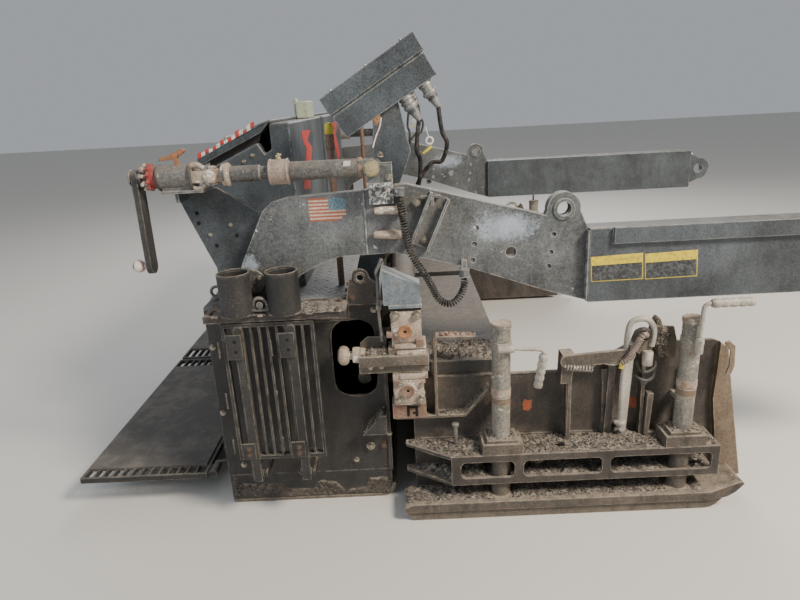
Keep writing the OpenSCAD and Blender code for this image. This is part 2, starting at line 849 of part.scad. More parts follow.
// Front beam of the arm with its guard bar and the tow eye
module arm_beam() {
    wall = 14;
    guard_z = beam_z + beam_h - 54;
    color("#36393b") {
        difference() {
            block([beam_rear, beam_y, beam_z], [beam_front, beam_y + beam_w, beam_z + beam_h]);
            block([beam_rear + wall, beam_y + wall, beam_z + wall],
                  [beam_front - wall, beam_y + beam_w - wall, beam_z + beam_h - wall]);
        }
        block([beam_rear + 79, beam_y + beam_w, guard_z], [beam_front - 40, beam_y + beam_w + 16, guard_z + 58]);
        plate_xz(beam_y + (beam_w - tow_t) / 2, tow_t)
            difference() {
                union() {
                    polygon([[beam_front, beam_z + 20], [tow_eye[0], tow_eye[1] - tow_r],
                             [tow_eye[0], tow_eye[1] + tow_r], [beam_front, beam_z + beam_h - 20]]);
                    translate(tow_eye) circle(tow_r);
                }
                translate(tow_eye) circle(tow_bore_r);
            }
    }
}

// Brackets on the arm: the trunnion of the nut, and the tilted channel with its pins
module arm_brackets() {
    cheek_x = [nut_pin_x - 26, nut_pin_x + 66];
    foot_top = screw_z - 48;
    foot_z = foot_top - 80;
    tilt_at = [86, 1156];
    tilt_half = 95;
    color("#5a5754") {
        block([cheek_x[0] + 8, arm_y, foot_top - 12], [cheek_x[1], screw_y + 52, foot_top]);
        plate_xz(arm_out, 12)
            polygon([[cheek_x[0] + 8, foot_z], [cheek_x[1], foot_z], [cheek_x[1], foot_top],
                     [cheek_x[0] + 8, foot_top]]);
        for (s = [-1, 1])
            translate([0, screw_y + s * 44 - 6, 0])
                plate_xz(0, 12) {
                    translate([cheek_x[0] + 8, foot_top])
                        square([cheek_x[1] - cheek_x[0] - 8, screw_z + 10 - foot_top]);
                    translate([nut_pin_x + 6, screw_z]) circle(24);
                }
        rod_y(nut_pin_x, screw_z, screw_y - 50, 108, nut_pin_r);
        translate([tilt_at[0], 0, tilt_at[1]])
            rotate([0, 24, 0]) {
                block([-36, arm_out, -tilt_half], [36, arm_out + 10, tilt_half]);
                for (x = [-36, 26])
                    block([x, arm_out + 10, -tilt_half], [x + 10, arm_out + 46, tilt_half]);
            }
        for (z = [1072, 1150]) {
            block([-84, arm_out, z - 13], [-30, arm_out + 16, z + 13]);
            rod_x(arm_out + 16, z, -100, 84, 12);
        }
        for (gland = [[cord_points[0], 22], [cord_points[len(cord_points) - 1], 60]]) {
            translate(gland[0]) cylinder(r = cord_r + 4, h = 28);
            block(gland[0] + [-9, arm_out - gland[0][1], 6], gland[0] + [9, 0, gland[1]]);
        }
    }
}

// Screw with the head of its joint; it turns about the joint pin and runs into the nut tube
module depth_screw() {
    neck_x = joint_x + 34;
    tip_x = nut_pin_x - 60;
    color("#6a655e")
        difference() {
            union() {
                plate_xz(screw_y - 22, 44) {
                    translate([joint_x, screw_z]) circle(24);
                    translate([joint_x, screw_z - 20]) square([neck_x - joint_x, 40]);
                }
                rod_x(screw_y, screw_z, neck_x, 26, 36);
                rod_x(screw_y, screw_z, neck_x + 26, tip_x - neck_x - 26, screw_r);
                rod_x(screw_y, screw_z, neck_x + 26, 100, screw_r + 5);
            }
            rod_y(joint_x, screw_z, screw_y - 30, 60, joint_pin_r + 0.5);
        }
}

// Nut tube with its collar and the eye on the arm bracket
module nut_tube() {
    collar_x = -437;
    collar_w = 64;
    bore_r = screw_r + 1.5;
    color("#8f8778")
        difference() {
            union() {
                rod_x(screw_y, screw_z, collar_x, collar_w, collar_r);
                rod_x(screw_y, screw_z, collar_x + collar_w, nut_pin_x - 30 - collar_x - collar_w, nut_r);
                plate_xz(screw_y - 32, 64)
                    union() {
                        translate([nut_pin_x, screw_z]) circle(28);
                        translate([nut_pin_x - 40, screw_z - 26]) square([40, 52]);
                    }
            }
            rod_x(screw_y, screw_z, collar_x - 1, nut_pin_x - 36 - collar_x, bore_r);
            rod_y(nut_pin_x, screw_z, screw_y - 40, 80, nut_pin_r + 0.5);
        }
}

// Walkway: frame, serrated grating bars, hinge knuckles and the rubber mat
module walkway() {
    y0 = 14;
    y1 = half_w;
    low = hinge_z - walk_t / 2;
    high = hinge_z + walk_t / 2;
    bars = 12;
    color("#3a3a38") {
        difference() {
            block([walk_rear, y0, low], [walk_front, y1, high]);
            block([walk_rear + 12, y0 + 10, low - 1], [walk_front - 12, y1 - 10, high + 1]);
        }
        for (i = [1:bars])
            translate([walk_rear + 12 + i * (walk_front - walk_rear - 24) / (bars + 1) - 3, y0 + 10, low])
                cube([6, y1 - y0 - 20, walk_t]);
        block([walk_rear + 12, y0 + 120, high - 8], [walk_front - 12, y1 - 60, high]);
        block([walk_rear + 14, y0 + 118, high], [walk_front - 14, y1 - 58, high + 8]);
        for (y = hinge_ys) {
            rod_y(hinge_x, hinge_z, y + hinge_lug_t + 4, 60, hinge_r + 5);
            block([walk_front, y + hinge_lug_t + 4, hinge_z - 8], [hinge_x, y + hinge_lug_t + 64, hinge_z + 8]);
            rod_y(hinge_x, hinge_z, y - 4, 60, hinge_r - 0.6);
        }
    }
}

// Folding end step: frame, upright bars and two legs that swing about the foot hinge
module end_step() {
    bars = 9;
    t = 26;
    top = step_z + step_h;
    color("#33302c") {
        difference() {
            block([step_x[0], step_y, step_z], [step_x[1], step_y + t, top]);
            block([step_x[0] + 12, step_y - 1, step_z + 14], [step_x[1] - 12, step_y + t + 1, top - 14]);
        }
        for (i = [1:bars])
            translate([step_x[0] + 12 + i * (step_w - 24) / (bars + 1) - 4, step_y + 2, step_z + 14])
                cube([8, t - 4, step_h - 28]);
        for (x = leg_x) {
            block([x - leg_w / 2, step_y + t, step_hinge[1] - 10], [x + leg_w / 2, step_y + t + 12, top - 24]);
            rod_y(x, top - 24, step_y + t, 12, leg_w / 2);
        }
        difference() {
            union()
                for (x = leg_x) {
                    rod_x(step_hinge[0], step_hinge[1], x - leg_w / 2, leg_w, 16);
                    block([x - leg_w / 2, step_hinge[0] + 6, step_hinge[1] - 10],
                          [x + leg_w / 2, step_y + t, step_hinge[1] + 6]);
                }
            for (x = leg_x)
                rod_x(step_hinge[0], step_hinge[1], x - leg_w / 2 - 4, leg_w + 8, step_pin_r + 0.5);
        }
    }
}

// Direction of the cord at a point, and the ring of points round it
function cord_way(i) =
    let (a = cord_points[max(i - 1, 0)], b = cord_points[min(i + 1, len(cord_points) - 1)])
        (b - a) / norm(b - a);
function cord_ring(i, sides) =
    let (t = cord_way(i), u = cross([0, 1, 0], t) / norm(cross([0, 1, 0], t)), v = cross(t, u))
        [for (k = [0:sides - 1]) cord_points[i] + cord_r * (cos(k * 360 / sides) * u + sin(k * 360 / sides) * v)];

// Curly cord as one fat tube of its outer diameter
module curly_cord() {
    sides = 10;
    last = len(cord_points) - 1;
    color("#151618")
        polyhedron(
            [for (i = [0:last]) each cord_ring(i, sides)],
            concat(
                [[for (k = [0:sides - 1]) k]],
                [for (i = [0:last - 1]) for (k = [0:sides - 1])
                    [i * sides + k, (i + 1) * sides + k, (i + 1) * sides + (k + 1) % sides, i * sides + (k + 1) % sides]],
                [[for (k = [sides - 1:-1:0]) last * sides + k]]
            )
        );
}

main_plates();
plate_carriers();
frame_walls();
bulkheads();
deck();
end_plates();
rear_gussets();
slide_guides();
crown_turnbuckle();
junction_box();
placed() both_sides() side_shelf();  // side_shelves
placed() both_sides() tool_cups();
placed() both_sides() upright();  // uprights
placed() both_sides() depth_crank();  // depth_cranks
placed() both_sides() cabinet();  // cabinets
placed() both_sides() hood();  // hoods
placed() both_sides() control_post();  // control_posts
placed() both_sides() control_box();  // control_boxes
placed("right") slide_tubes();  // slide_tubes_right
placed() slide_tubes();  // slide_tubes_left
placed("right") slide_bracket();  // slide_bracket_right
placed() slide_bracket();  // slide_bracket_left
placed("right") strap_bracket();  // strap_bracket_right
placed() strap_bracket();  // strap_bracket_left
placed("right") extension_box();  // extension_box_right
placed() extension_box();  // extension_box_left
placed("right") end_gate();  // end_gate_right
placed() end_gate();  // end_gate_left
placed("right") gate_channel();  // gate_channel_right
placed() gate_channel();  // gate_channel_left
placed("right") jack_tubes();  // jack_tubes_right
placed() jack_tubes();  // jack_tubes_left
placed("right") jack_cranks();  // jack_cranks_right
placed() jack_cranks();  // jack_cranks_left
placed("right") lock_lever();  // lock_lever_right
placed() lock_lever();  // lock_lever_left
placed("right") ski();  // ski_right
placed() ski();  // ski_left
placed("right") tow_arm();  // tow_arm_right
placed() tow_arm();  // tow_arm_left
placed("right") arm_beam();  // arm_beam_right
placed() arm_beam();  // arm_beam_left
placed("right") arm_brackets();  // arm_brackets_right
placed() arm_brackets();  // arm_brackets_left
placed("right") depth_screw();  // depth_screw_right
placed() depth_screw();  // depth_screw_left
placed("right") nut_tube();  // nut_tube_right
placed() nut_tube();  // nut_tube_left
placed("right") walkway();  // walkway_right
placed() walkway();  // walkway_left
placed("right") end_step();  // end_step_right
placed() end_step();  // end_step_left
placed("right") curly_cord();  // curly_cord_right
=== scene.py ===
# Floating screed of an asphalt paver with its tow arms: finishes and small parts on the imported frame
import contextlib
import json
import math
import random

import bpy
from mathutils import Matrix, Vector, noise


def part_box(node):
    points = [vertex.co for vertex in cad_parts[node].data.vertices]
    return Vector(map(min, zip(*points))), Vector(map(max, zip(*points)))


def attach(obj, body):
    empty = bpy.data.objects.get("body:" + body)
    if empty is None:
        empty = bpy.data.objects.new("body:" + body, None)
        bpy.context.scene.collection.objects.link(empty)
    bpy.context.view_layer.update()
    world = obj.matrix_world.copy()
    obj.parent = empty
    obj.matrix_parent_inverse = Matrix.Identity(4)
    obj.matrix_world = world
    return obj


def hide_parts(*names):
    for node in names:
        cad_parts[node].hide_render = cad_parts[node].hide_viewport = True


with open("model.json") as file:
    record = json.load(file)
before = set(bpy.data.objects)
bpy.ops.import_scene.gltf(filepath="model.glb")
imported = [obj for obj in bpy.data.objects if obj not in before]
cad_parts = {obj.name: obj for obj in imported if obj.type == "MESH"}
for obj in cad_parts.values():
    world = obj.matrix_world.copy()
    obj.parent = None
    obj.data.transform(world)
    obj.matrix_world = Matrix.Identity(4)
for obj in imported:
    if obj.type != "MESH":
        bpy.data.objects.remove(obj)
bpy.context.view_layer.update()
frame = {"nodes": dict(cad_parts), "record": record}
print("frame loaded:", len(frame["nodes"]), "nodes")

# Places are written in millimetres from the machine's cross datum, which lies 85 mm in front of the wear plates
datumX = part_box("main_plates")[1].x + 0.085
sides = {"right": -1, "left": 1}
mm = 0.001
fullTurn = 2 * math.pi


def at(x, y, z, side=1):
    return Vector((datumX + x * mm, side * y * mm, z * mm))


# A place in metres back in millimetres, y outwards
def inMillimetres(place):
    return (place.x - datumX) / mm, abs(place.y) / mm, place.z / mm


# Camera at the photograph's place and angle, 27 mm lens
cameraView = {
    "place": Vector((datumX, -3.34, 1.55)),
    "yaw": math.radians(-0.8),
    "pitch": math.radians(18.2),
    "roll": math.radians(3.05),
    "focalPixels": 601,
    "imageWidth": 800,
    "sensorWidth": 36,
    "clip": (0.05, 60),
}


def makeCamera(view):
    yaw, pitch, roll = view["yaw"], view["pitch"], view["roll"]
    forward = Vector((math.sin(yaw) * math.cos(pitch), math.cos(yaw) * math.cos(pitch), -math.sin(pitch)))
    level = Vector((math.cos(yaw), -math.sin(yaw), 0))
    down = forward.cross(level)
    right = level * math.cos(roll) + down * math.sin(roll)
    up = level * math.sin(roll) - down * math.cos(roll)
    turn = Matrix((right, up, -forward)).transposed().to_4x4()
    bpy.ops.object.camera_add()
    camera = bpy.context.object
    camera.name = "photoCamera"
    camera.matrix_world = Matrix.Translation(view["place"]) @ turn
    camera.data.sensor_width = view["sensorWidth"]
    camera.data.lens = view["focalPixels"] / view["imageWidth"] * view["sensorWidth"]
    camera.data.dof.use_dof = False
    camera.data.clip_start, camera.data.clip_end = view["clip"]
    bpy.context.scene.camera = camera


makeCamera(cameraView)


def toLinear(hexColour):
    channels = [int(hexColour[i:i + 2], 16) / 255 for i in (1, 3, 5)]
    return tuple(c / 12.92 if c <= 0.04045 else ((c + 0.055) / 1.055) ** 2.4 for c in channels) + (1.0,)


def newMaterial(name):
    material = bpy.data.materials.new(name)
    material.use_nodes = True
    return material, material.node_tree, material.node_tree.nodes["Principled BSDF"]


# Adds a node. Its inputs are a list in the order of its sockets, or a dictionary; a socket among them is linked
def addNode(tree, kind, inputs=(), output=0, **settings):
    made = tree.nodes.new("ShaderNode" + kind)
    for name, value in settings.items():
        setattr(made, name, value)
    for name, value in inputs.items() if isinstance(inputs, dict) else enumerate(inputs):
        if isinstance(value, bpy.types.NodeSocket):
            tree.links.new(value, made.inputs[name])
        else:
            made.inputs[name].default_value = value
    return made.outputs[output]


# Finishes that start from steel with a coat, worn at edges, dusty on top and grimy low down
coatColumns = ("coat", "faded", "mottle", "chip", "rust", "dust",
               "mottleShare", "chipShare", "rustShare", "dustShare", "specks", "roughness", "grime")
coats = {
    # Charcoal enamel sprayed on plate: satin, faded grey where the sun reaches, speckled by stone dust
    "charcoalEnamel": ("#303538", "#525a60", "#7f8384", "#aeb0ae", "#64493a", "#8a8378",
                       0.22, 0.75, 0.1, 0.4, 0.35, 0.42, 0.4),
    # The same enamel on the arms, scoured by wind-blown grit and warm with dried mud low down
    "scuffedEnamel": ("#35393b", "#6a6e70", "#9a9c9a", "#c2c1ba", "#775d47", "#958878",
                      0.36, 0.85, 0.2, 0.45, 0.5, 0.42, 0.5),
    # The enamel under a film of bitumen and rust, on what is close to the hot mix
    "grimyPlate": ("#1b1b1c", "#333231", "#625d57", "#968f84", "#48382e", "#7c7368",
                   0.22, 0.7, 0.15, 0.72, 0.55, 0.56, 0.6),
    # The gate and its channel: black paint under brown bitumen smears, rubbed pale along the edges
    "smearedPlate": ("#2c2826", "#4b443f", "#776d63", "#a89c8e", "#5a4335", "#8b8175",
                     0.3, 0.8, 0.22, 0.85, 0.65, 0.6, 0.55),
    # Wear-resistant plate scoured by gravel: brown-grey, rubbed bright along its edges
    "scouredPlate": ("#3b3733", "#645b51", "#8b8072", "#b9ab99", "#674d3c", "#948878",
                     0.45, 0.85, 0.25, 0.9, 0.85, 0.62, 0.5),
    # Cast iron blocks with flaked cream paint over orange rust
    "flakedCream": ("#9b8b7b", "#b1a291", "#cfc5b8", "#705848", "#80573f", "#978979",
                    0.4, 0.8, 0.5, 0.5, 0.5, 0.74, 0.45),
    # Dark steel with white paint that flakes off in crumbs
    "flakedWhite": ("#45464a", "#5e6063", "#8f9190", "#b8b8b4", "#6b4d3a", "#8f8578",
                    0.5, 0.7, 0.15, 0.3, 0.6, 0.6, 0.3),
    # The same castings where the paint is gone: orange-brown rust with pale bloom
    "rustyCasting": ("#664b3e", "#836a5b", "#ab9a8c", "#bcab9b", "#774c36", "#968778",
                     0.5, 0.5, 0.45, 0.5, 0.5, 0.85, 0.35),
    # Drawn tube, its grey paint worn to bare steel, with cream and blue-grey remnants
    "wornTube": ("#434343", "#6a6864", "#a3a098", "#c4c0b5", "#644a38", "#8b8275",
                 0.45, 0.6, 0.28, 0.38, 0.6, 0.42, 0.45),
    # The jack tubes: zinc grey gone chalky, with cream runs near the top
    "chalkyTube": ("#6c6961", "#8f8a7f", "#b8b1a2", "#ccc6b8", "#7a5a42", "#9a8f7e",
                   0.6, 0.5, 0.25, 0.5, 0.6, 0.58, 0.5),
    # Light grey paint on the crank handles, greyed by gloves
    "paleEnamel": ("#9a958b", "#b7b1a6", "#cfc9bd", "#665d54", "#80664f", "#9d9384",
                   0.3, 0.6, 0.2, 0.35, 0.4, 0.45, 0.5),
    # Blue-grey primer on the top block of the slide bracket
    "primerBlue": ("#525b61", "#6f797f", "#9aa2a6", "#cfd0cc", "#7d5a42", "#9a8f80",
                   0.3, 0.6, 0.08, 0.3, 0.4, 0.5, 0.25),
    # Pinkish cream enamel baked on the screw collar, stained by grease
    "pinkCream": ("#8d7c70", "#a39488", "#bcafa3", "#5f4d42", "#7d543c", "#9a8a7a",
                  0.4, 0.6, 0.25, 0.3, 0.4, 0.5, 0.35),
    # Red enamel on the ratchet wheel, chalked and chipped
    "chalkedRed": ("#7d2a26", "#9c3d36", "#b8675c", "#4b3a34", "#5d3526", "#8c7a6c",
                   0.3, 0.7, 0.25, 0.35, 0.4, 0.55, 0.3),
    # Sheet with orange rust, thin and bent
    "orangeRust": ("#87563a", "#a0714f", "#b99577", "#5b4030", "#6b4129", "#998268",
                   0.35, 0.5, 0.5, 0.3, 0.2, 0.85, 0.2),
    # Pale green-grey moulded box on the cabinet
    "paleGreenShell": ("#98a08a", "#adb39d", "#c2c6b4", "#d2d4c6", "#8b7d60", "#a0957f",
                       0.25, 0.3, 0.05, 0.4, 0.3, 0.5, 0.25),
    # Tan paint on the folded front post of the gate, bleached by the sun
    "tanPlate": ("#665847", "#7d6d5d", "#a39480", "#cbb9a1", "#7a5238", "#a08f7a",
                 0.4, 0.9, 0.4, 0.5, 0.6, 0.68, 0.3),
}
# Remnants of another paint on a coat: colour, share of the face and scale in 1/m
flakes = {
    "scuffedEnamel": ("#b9c0c4", 0.12, 16.0), "flakedCream": ("#d6cec2", 0.42, 16.0),
    "flakedWhite": ("#cbcdca", 0.6, 70.0), "wornTube": ("#cfcabd", 0.16, 16.0),
    "chalkyTube": ("#d3ccbc", 0.3, 16.0),
}
# Pale blue scuffs beside the lift eye and splashes at the rear foot of the arm: [x, z, half length, half height]
scuffs = {"scuffedEnamel": ("#aab6c2", [(350, 1118, 190, 90), (-555, 1030, 55, 60)])}
shade = {"oil": "#232220", "bitumen": "#1d1b1a", "stoneDust": "#c2b8a8"}
# Noise of the coats, its scales in 1/m: clouds of 300 mm, blotches of 40 mm, speckle of 8 mm and grain of 3 mm,
# a little coarser than real
patterns = {
    "cloud": {"Scale": 3.4, "Detail": 5.0, "Roughness": 0.62},
    "blotch": {"Scale": 26.0, "Detail": 6.0, "Roughness": 0.7},
    "speckle": {"Scale": 120.0, "Detail": 6.0, "Roughness": 0.85},
    "grain": {"Scale": 320.0, "Detail": 3.0},
    "runs": {"Scale": 1.6, "Detail": 6.0, "Roughness": 0.65},
    "flake": {"Detail": 9.0, "Roughness": 0.72, "Distortion": 0.4},
    "film": {"Detail": 6.0, "Roughness": 0.7},
    "stain": {"Scale": 12.0, "Detail": 5.0},
    "crumb": {"Scale": 420.0, "Detail": 3.0},
}
# Where a pattern starts and ends to show, and from what to what it then goes
ranges = {
    "edge": (0.995, 0.88), "edgeBreak": (0.4, 0.56, 0.1), "top": (0.2, 0.9), "corner": (0.85, 0.35, 0.0, 0.6),
    "dustPatch": (0.34, 0.6, 0.2), "low": (1.2, 0.1, 0.45), "rustCloud": (0.38, 0.62, 0.25), "speck": (0.22, 0.1),
    "speckPatch": (0.45, 0.7, 0.04, 0.9), "runs": (0.46, 0.64), "fade": (0.36, 0.66), "pale": (0.5, 0.64),
    "oil": (0.48, 0.36, 0.0, 0.55), "spot": (1.0, 0.2), "scuff": (1.3, 1.7, 0.0, 0.8),
    "uneven": (0.3, 0.7, -0.16, 0.16), "film": (0.44, 0.68, 0.0, 0.85), "sheen": (0.3, 0.7),
    "crumbTop": (-0.1, 0.9, 0.15), "stain": (0.5, 0.7, 0.0, 0.55),
}
# Start and end of the rust at no share of it, and how far they fall at a full one
rustPatch = [(0.62, 0.22), (0.72, 0.2)]
# The same for flaked paint, whose edge is sharp
flakeStart, flakeFall, flakeEdge = 0.68, 0.3, 0.015
scuffRim = 0.75
dustRoughness = 0.93
# Relief: pits of 1 mm in the coat, dents, a crust of dust in grains of 6 mm, flakes 1 mm thick
bumps = {
    "pits": {"Strength": 0.4, "Distance": 0.0012}, "dents": {"Strength": 0.4, "Distance": 0.004},
    "crust": {"Strength": 0.8, "Distance": 0.004}, "flakes": {"Strength": 0.9, "Distance": 0.001},
    "film": {"Strength": 0.3, "Distance": 0.0008}, "crumb": {"Strength": 0.6, "Distance": 0.0012},
}
gritScale = 150.0
runStretch = (14.0, 14.0, 4.0)
edgeRadius = 0.006
cornerReach = 0.07
clamped = {"operation": "MULTIPLY", "use_clamp": True}
smooth = {"interpolation_type": "SMOOTHSTEP"}


def makeCoat(name, look):
    material, tree, shader = newMaterial(name)
    place = addNode(tree, "TexCoord", output="Object")
    surface = addNode(tree, "NewGeometry", output="Normal")
    cloud, blotch, speckle, grain = [addNode(tree, "TexNoise", {"Vector": place, **patterns[pattern]})
                                     for pattern in ("cloud", "blotch", "speckle", "grain")]
    grit = addNode(tree, "TexVoronoi", {"Vector": place, "Scale": gritScale})
    stretched = addNode(tree, "Mapping", {"Vector": place, "Scale": runStretch})
    runs = addNode(tree, "TexNoise", {"Vector": stretched, **patterns["runs"]})
    # worn edges: where a rounded normal leaves the flat one, broken up by the blotches
    rounded = addNode(tree, "Bevel", {"Radius": edgeRadius}, samples=4)
    likeness = addNode(tree, "VectorMath", [rounded, surface], "Value", operation="DOT_PRODUCT")
    edge = addNode(tree, "Math", [addNode(tree, "MapRange", [likeness, *ranges["edge"]]),
                                  addNode(tree, "MapRange", [blotch, *ranges["edgeBreak"]])], **clamped)
    edge = addNode(tree, "Math", [edge, look["chipShare"]], **clamped)
    # upward faces hold dust, and so do corners
    upward = addNode(tree, "SeparateXYZ", [surface], "Z")
    height = addNode(tree, "SeparateXYZ", [place], "Z")
    corner = addNode(tree, "AmbientOcclusion", {"Distance": cornerReach}, "AO", samples=4)
    dust = addNode(tree, "Math", [addNode(tree, "MapRange", [upward, *ranges["top"]], **smooth),
                                  addNode(tree, "MapRange", [corner, *ranges["corner"]])], operation="MAXIMUM")
    dust = addNode(tree, "Math", [dust, addNode(tree, "MapRange", [blotch, *ranges["dustPatch"]])], **clamped)
    dust = addNode(tree, "Math", [dust, look["dustShare"]], **clamped)
    # rust in blotches, more of it near the ground
    low = addNode(tree, "MapRange", [height, *ranges["low"]])
    patch = [start - fall * look["rustShare"] for start, fall in rustPatch]
    rust = addNode(tree, "MapRange", [blotch, *patch], **smooth)
    rust = addNode(tree, "Math", [rust, addNode(tree, "MapRange", [cloud, *ranges["rustCloud"]])], **clamped)
    rust = addNode(tree, "Math", [rust, low], **clamped)
    # pale specks of stone dust, 2 to 6 mm across
    specks = addNode(tree, "Math", [addNode(tree, "MapRange", [grit, *ranges["speck"]]),
                                    addNode(tree, "MapRange", [cloud, *ranges["speckPatch"]])], **clamped)
    specks = addNode(tree, "Math", [specks, look["specks"]], **clamped)
    # grime: bitumen film that runs down and is heavier low on the machine
    grime = addNode(tree, "Math", [addNode(tree, "MapRange", [runs, *ranges["runs"]], **smooth), low], **clamped)
    grime = addNode(tree, "Math", [grime, look["grime"]], **clamped)
    layers = [
        (addNode(tree, "MapRange", [cloud, *ranges["fade"]]), look["faded"]),
        (addNode(tree, "MapRange", [speckle, *ranges["pale"], 0.0, look["mottleShare"]]), look["mottle"]),
        (addNode(tree, "MapRange", [speckle, *ranges["oil"]]), shade["oil"]),
        (rust, look["rust"]),
    ]
    # flaked paint: islands of 20 to 90 mm with ragged edges
    if name in flakes:
        colour, share, scale = flakes[name]
        start = flakeStart - flakeFall * share
        islands = addNode(tree, "TexNoise", {"Vector": place, "Scale": scale, **patterns["flake"]})
        flake = addNode(tree, "MapRange", [islands, start, start + flakeEdge])
        layers.append((flake, colour))
    # scuffed spots: rubbed pale, with a ragged rim
    if name in scuffs:
        colour, spots = scuffs[name]
        nearness = 0.0
        for x, z, halfLength, halfHeight in spots:
            spot = addNode(tree, "Mapping", {
                "Vector": place, "Scale": (1 / (halfLength * mm), 0.0, 1 / (halfHeight * mm)),
                "Location": (-(datumX / mm + x) / halfLength, 0.0, -z / halfHeight)})
            reach = addNode(tree, "VectorMath", [spot], "Value", operation="LENGTH")
            near = addNode(tree, "MapRange", [reach, *ranges["spot"]])
            nearness = addNode(tree, "Math", [near, nearness], operation="MAXIMUM")
        ragged = addNode(tree, "Math", [nearness, scuffRim, speckle], operation="MULTIPLY_ADD")
        ragged = addNode(tree, "Math", [ragged, blotch])
        layers.append((addNode(tree, "MapRange", [ragged, *ranges["scuff"]]), colour))
    layers += [(grime, shade["bitumen"]), (edge, look["chip"]), (dust, look["dust"]), (specks, shade["stoneDust"])]
    colour = toLinear(look["coat"])
    for share, above in layers:
        colour = addNode(tree, "Mix", {0: share, 6: colour, 7: toLinear(above)}, 2, data_type="RGBA")
    tree.links.new(colour, shader.inputs["Base Color"])
    # the coat is satin, dust and rust are matt
    dull = addNode(tree, "Math", [dust, rust], operation="MAXIMUM")
    rough = addNode(tree, "Math", [addNode(tree, "MapRange", [dull, 0.0, 1.0, look["roughness"], dustRoughness]),
                                   addNode(tree, "MapRange", [speckle, *ranges["uneven"]])], use_clamp=True)
    tree.links.new(rough, shader.inputs["Roughness"])
    pits = addNode(tree, "Bump", {**bumps["pits"], "Height": grain})
    dents = addNode(tree, "Bump", {**bumps["dents"], "Height": blotch, "Normal": pits})
    crust = addNode(tree, "Math", [grit, dust], operation="MULTIPLY")
    relief = addNode(tree, "Bump", {**bumps["crust"], "Height": crust, "Normal": dents}, invert=True)
    if name in flakes:
        relief = addNode(tree, "Bump", {**bumps["flakes"], "Height": flake, "Normal": relief})
    tree.links.new(relief, shader.inputs["Normal"])
    return material


finishes = {name: makeCoat(name, dict(zip(coatColumns, row))) for name, row in coats.items()}


# Plain finishes that carry little wear: their colour pair, its scale in 1/m, least and most roughness, metal share
plainLooks = {
    # black moulded rubber and polyurethane with a dusty film
    "dustyRubber": ("#17171a", "#5c554c", 60.0, 0.45, 0.8, 0.0),
    # rubber mat under road dust
    "dustyMat": ("#4d4a46", "#6f6962", 9.0, 0.75, 0.9, 0.0),
    # zinc-plated bolt steel with brown stains
    "zincBolt": ("#a8a294", "#5d4d3e", 90.0, 0.3, 0.6, 0.85),
    # rusty bolt heads
    "rustyBolt": ("#5b4a3f", "#2f2925", 110.0, 0.7, 0.9, 0.1),
    # hard chrome on the slide tubes, hazed by bitumen
    "hazedChrome": ("#c9cbcb", "#8a8780", 18.0, 0.12, 0.4, 1.0),
    # yellow enamel of the cap and the post
    "yellowEnamel": ("#d3c33a", "#968a3c", 45.0, 0.4, 0.6, 0.0),
    # bronze-yellow passivated bolt of the nut pin
    "bronzeBolt": ("#b0a382", "#74674f", 120.0, 0.4, 0.65, 0.35),
    # pale grey cast connector shells
    "connectorShell": ("#8b8b88", "#55534f", 70.0, 0.4, 0.65, 0.25),
    # white vinyl tag
    "whiteTag": ("#d9d7cf", "#9a9488", 80.0, 0.4, 0.6, 0.0),
    # painted shade: a near-black matt finish for the shade inside a slot, a groove or a hole
    "darkHollow": ("#0b0b0b", "#171513", 60.0, 0.8, 0.95, 0.0),
    # red phenolic knob bleached to pink and white
    "bleachedKnob": ("#d6c9c4", "#a8453c", 34.0, 0.35, 0.6, 0.0),
    # orange survey paint
    "orangePaint": ("#9a5233", "#5f3a29", 50.0, 0.6, 0.8, 0.0),
    # red vinyl of the stripe and the tape, sun-faded
    "freshRed": ("#b5372f", "#8c4a42", 30.0, 0.4, 0.6, 0.0),
    # printed decal film, its red gone orange, its white gone tan and its blue gone grey
    "decalRed": ("#ad5540", "#7d6656", 150.0, 0.45, 0.7, 0.0),
    "decalWhite": ("#c4b6a4", "#8d8273", 120.0, 0.45, 0.7, 0.0),
    "decalBlue": ("#4d6f80", "#9fadad", 150.0, 0.45, 0.7, 0.0),
    # printed film of the blank plates: yellow and black, dusty
    "signYellow": ("#d9c234", "#8f8040", 70.0, 0.4, 0.6, 0.0),
    "signBlack": ("#2b2e31", "#6a6c6c", 90.0, 0.4, 0.6, 0.0),
}


def makePlain(name, first, second, scale, smoothest, roughest, metal):
    material, tree, shader = newMaterial(name)
    place = addNode(tree, "TexCoord", output="Object")
    film = addNode(tree, "TexNoise", {"Vector": place, "Scale": scale, **patterns["film"]})
    share = addNode(tree, "MapRange", [film, *ranges["film"]])
    colour = addNode(tree, "Mix", {0: share, 6: toLinear(first), 7: toLinear(second)}, 2, data_type="RGBA")
    rough = addNode(tree, "MapRange", [film, *ranges["sheen"], smoothest, roughest])
    bump = addNode(tree, "Bump", {**bumps["film"], "Height": film})
    tree.links.new(colour, shader.inputs["Base Color"])
    tree.links.new(rough, shader.inputs["Roughness"])
    tree.links.new(bump, shader.inputs["Normal"])
    shader.inputs["Metallic"].default_value = metal
    return material


crumbScale = 110.0
crumbRoughness = 0.88
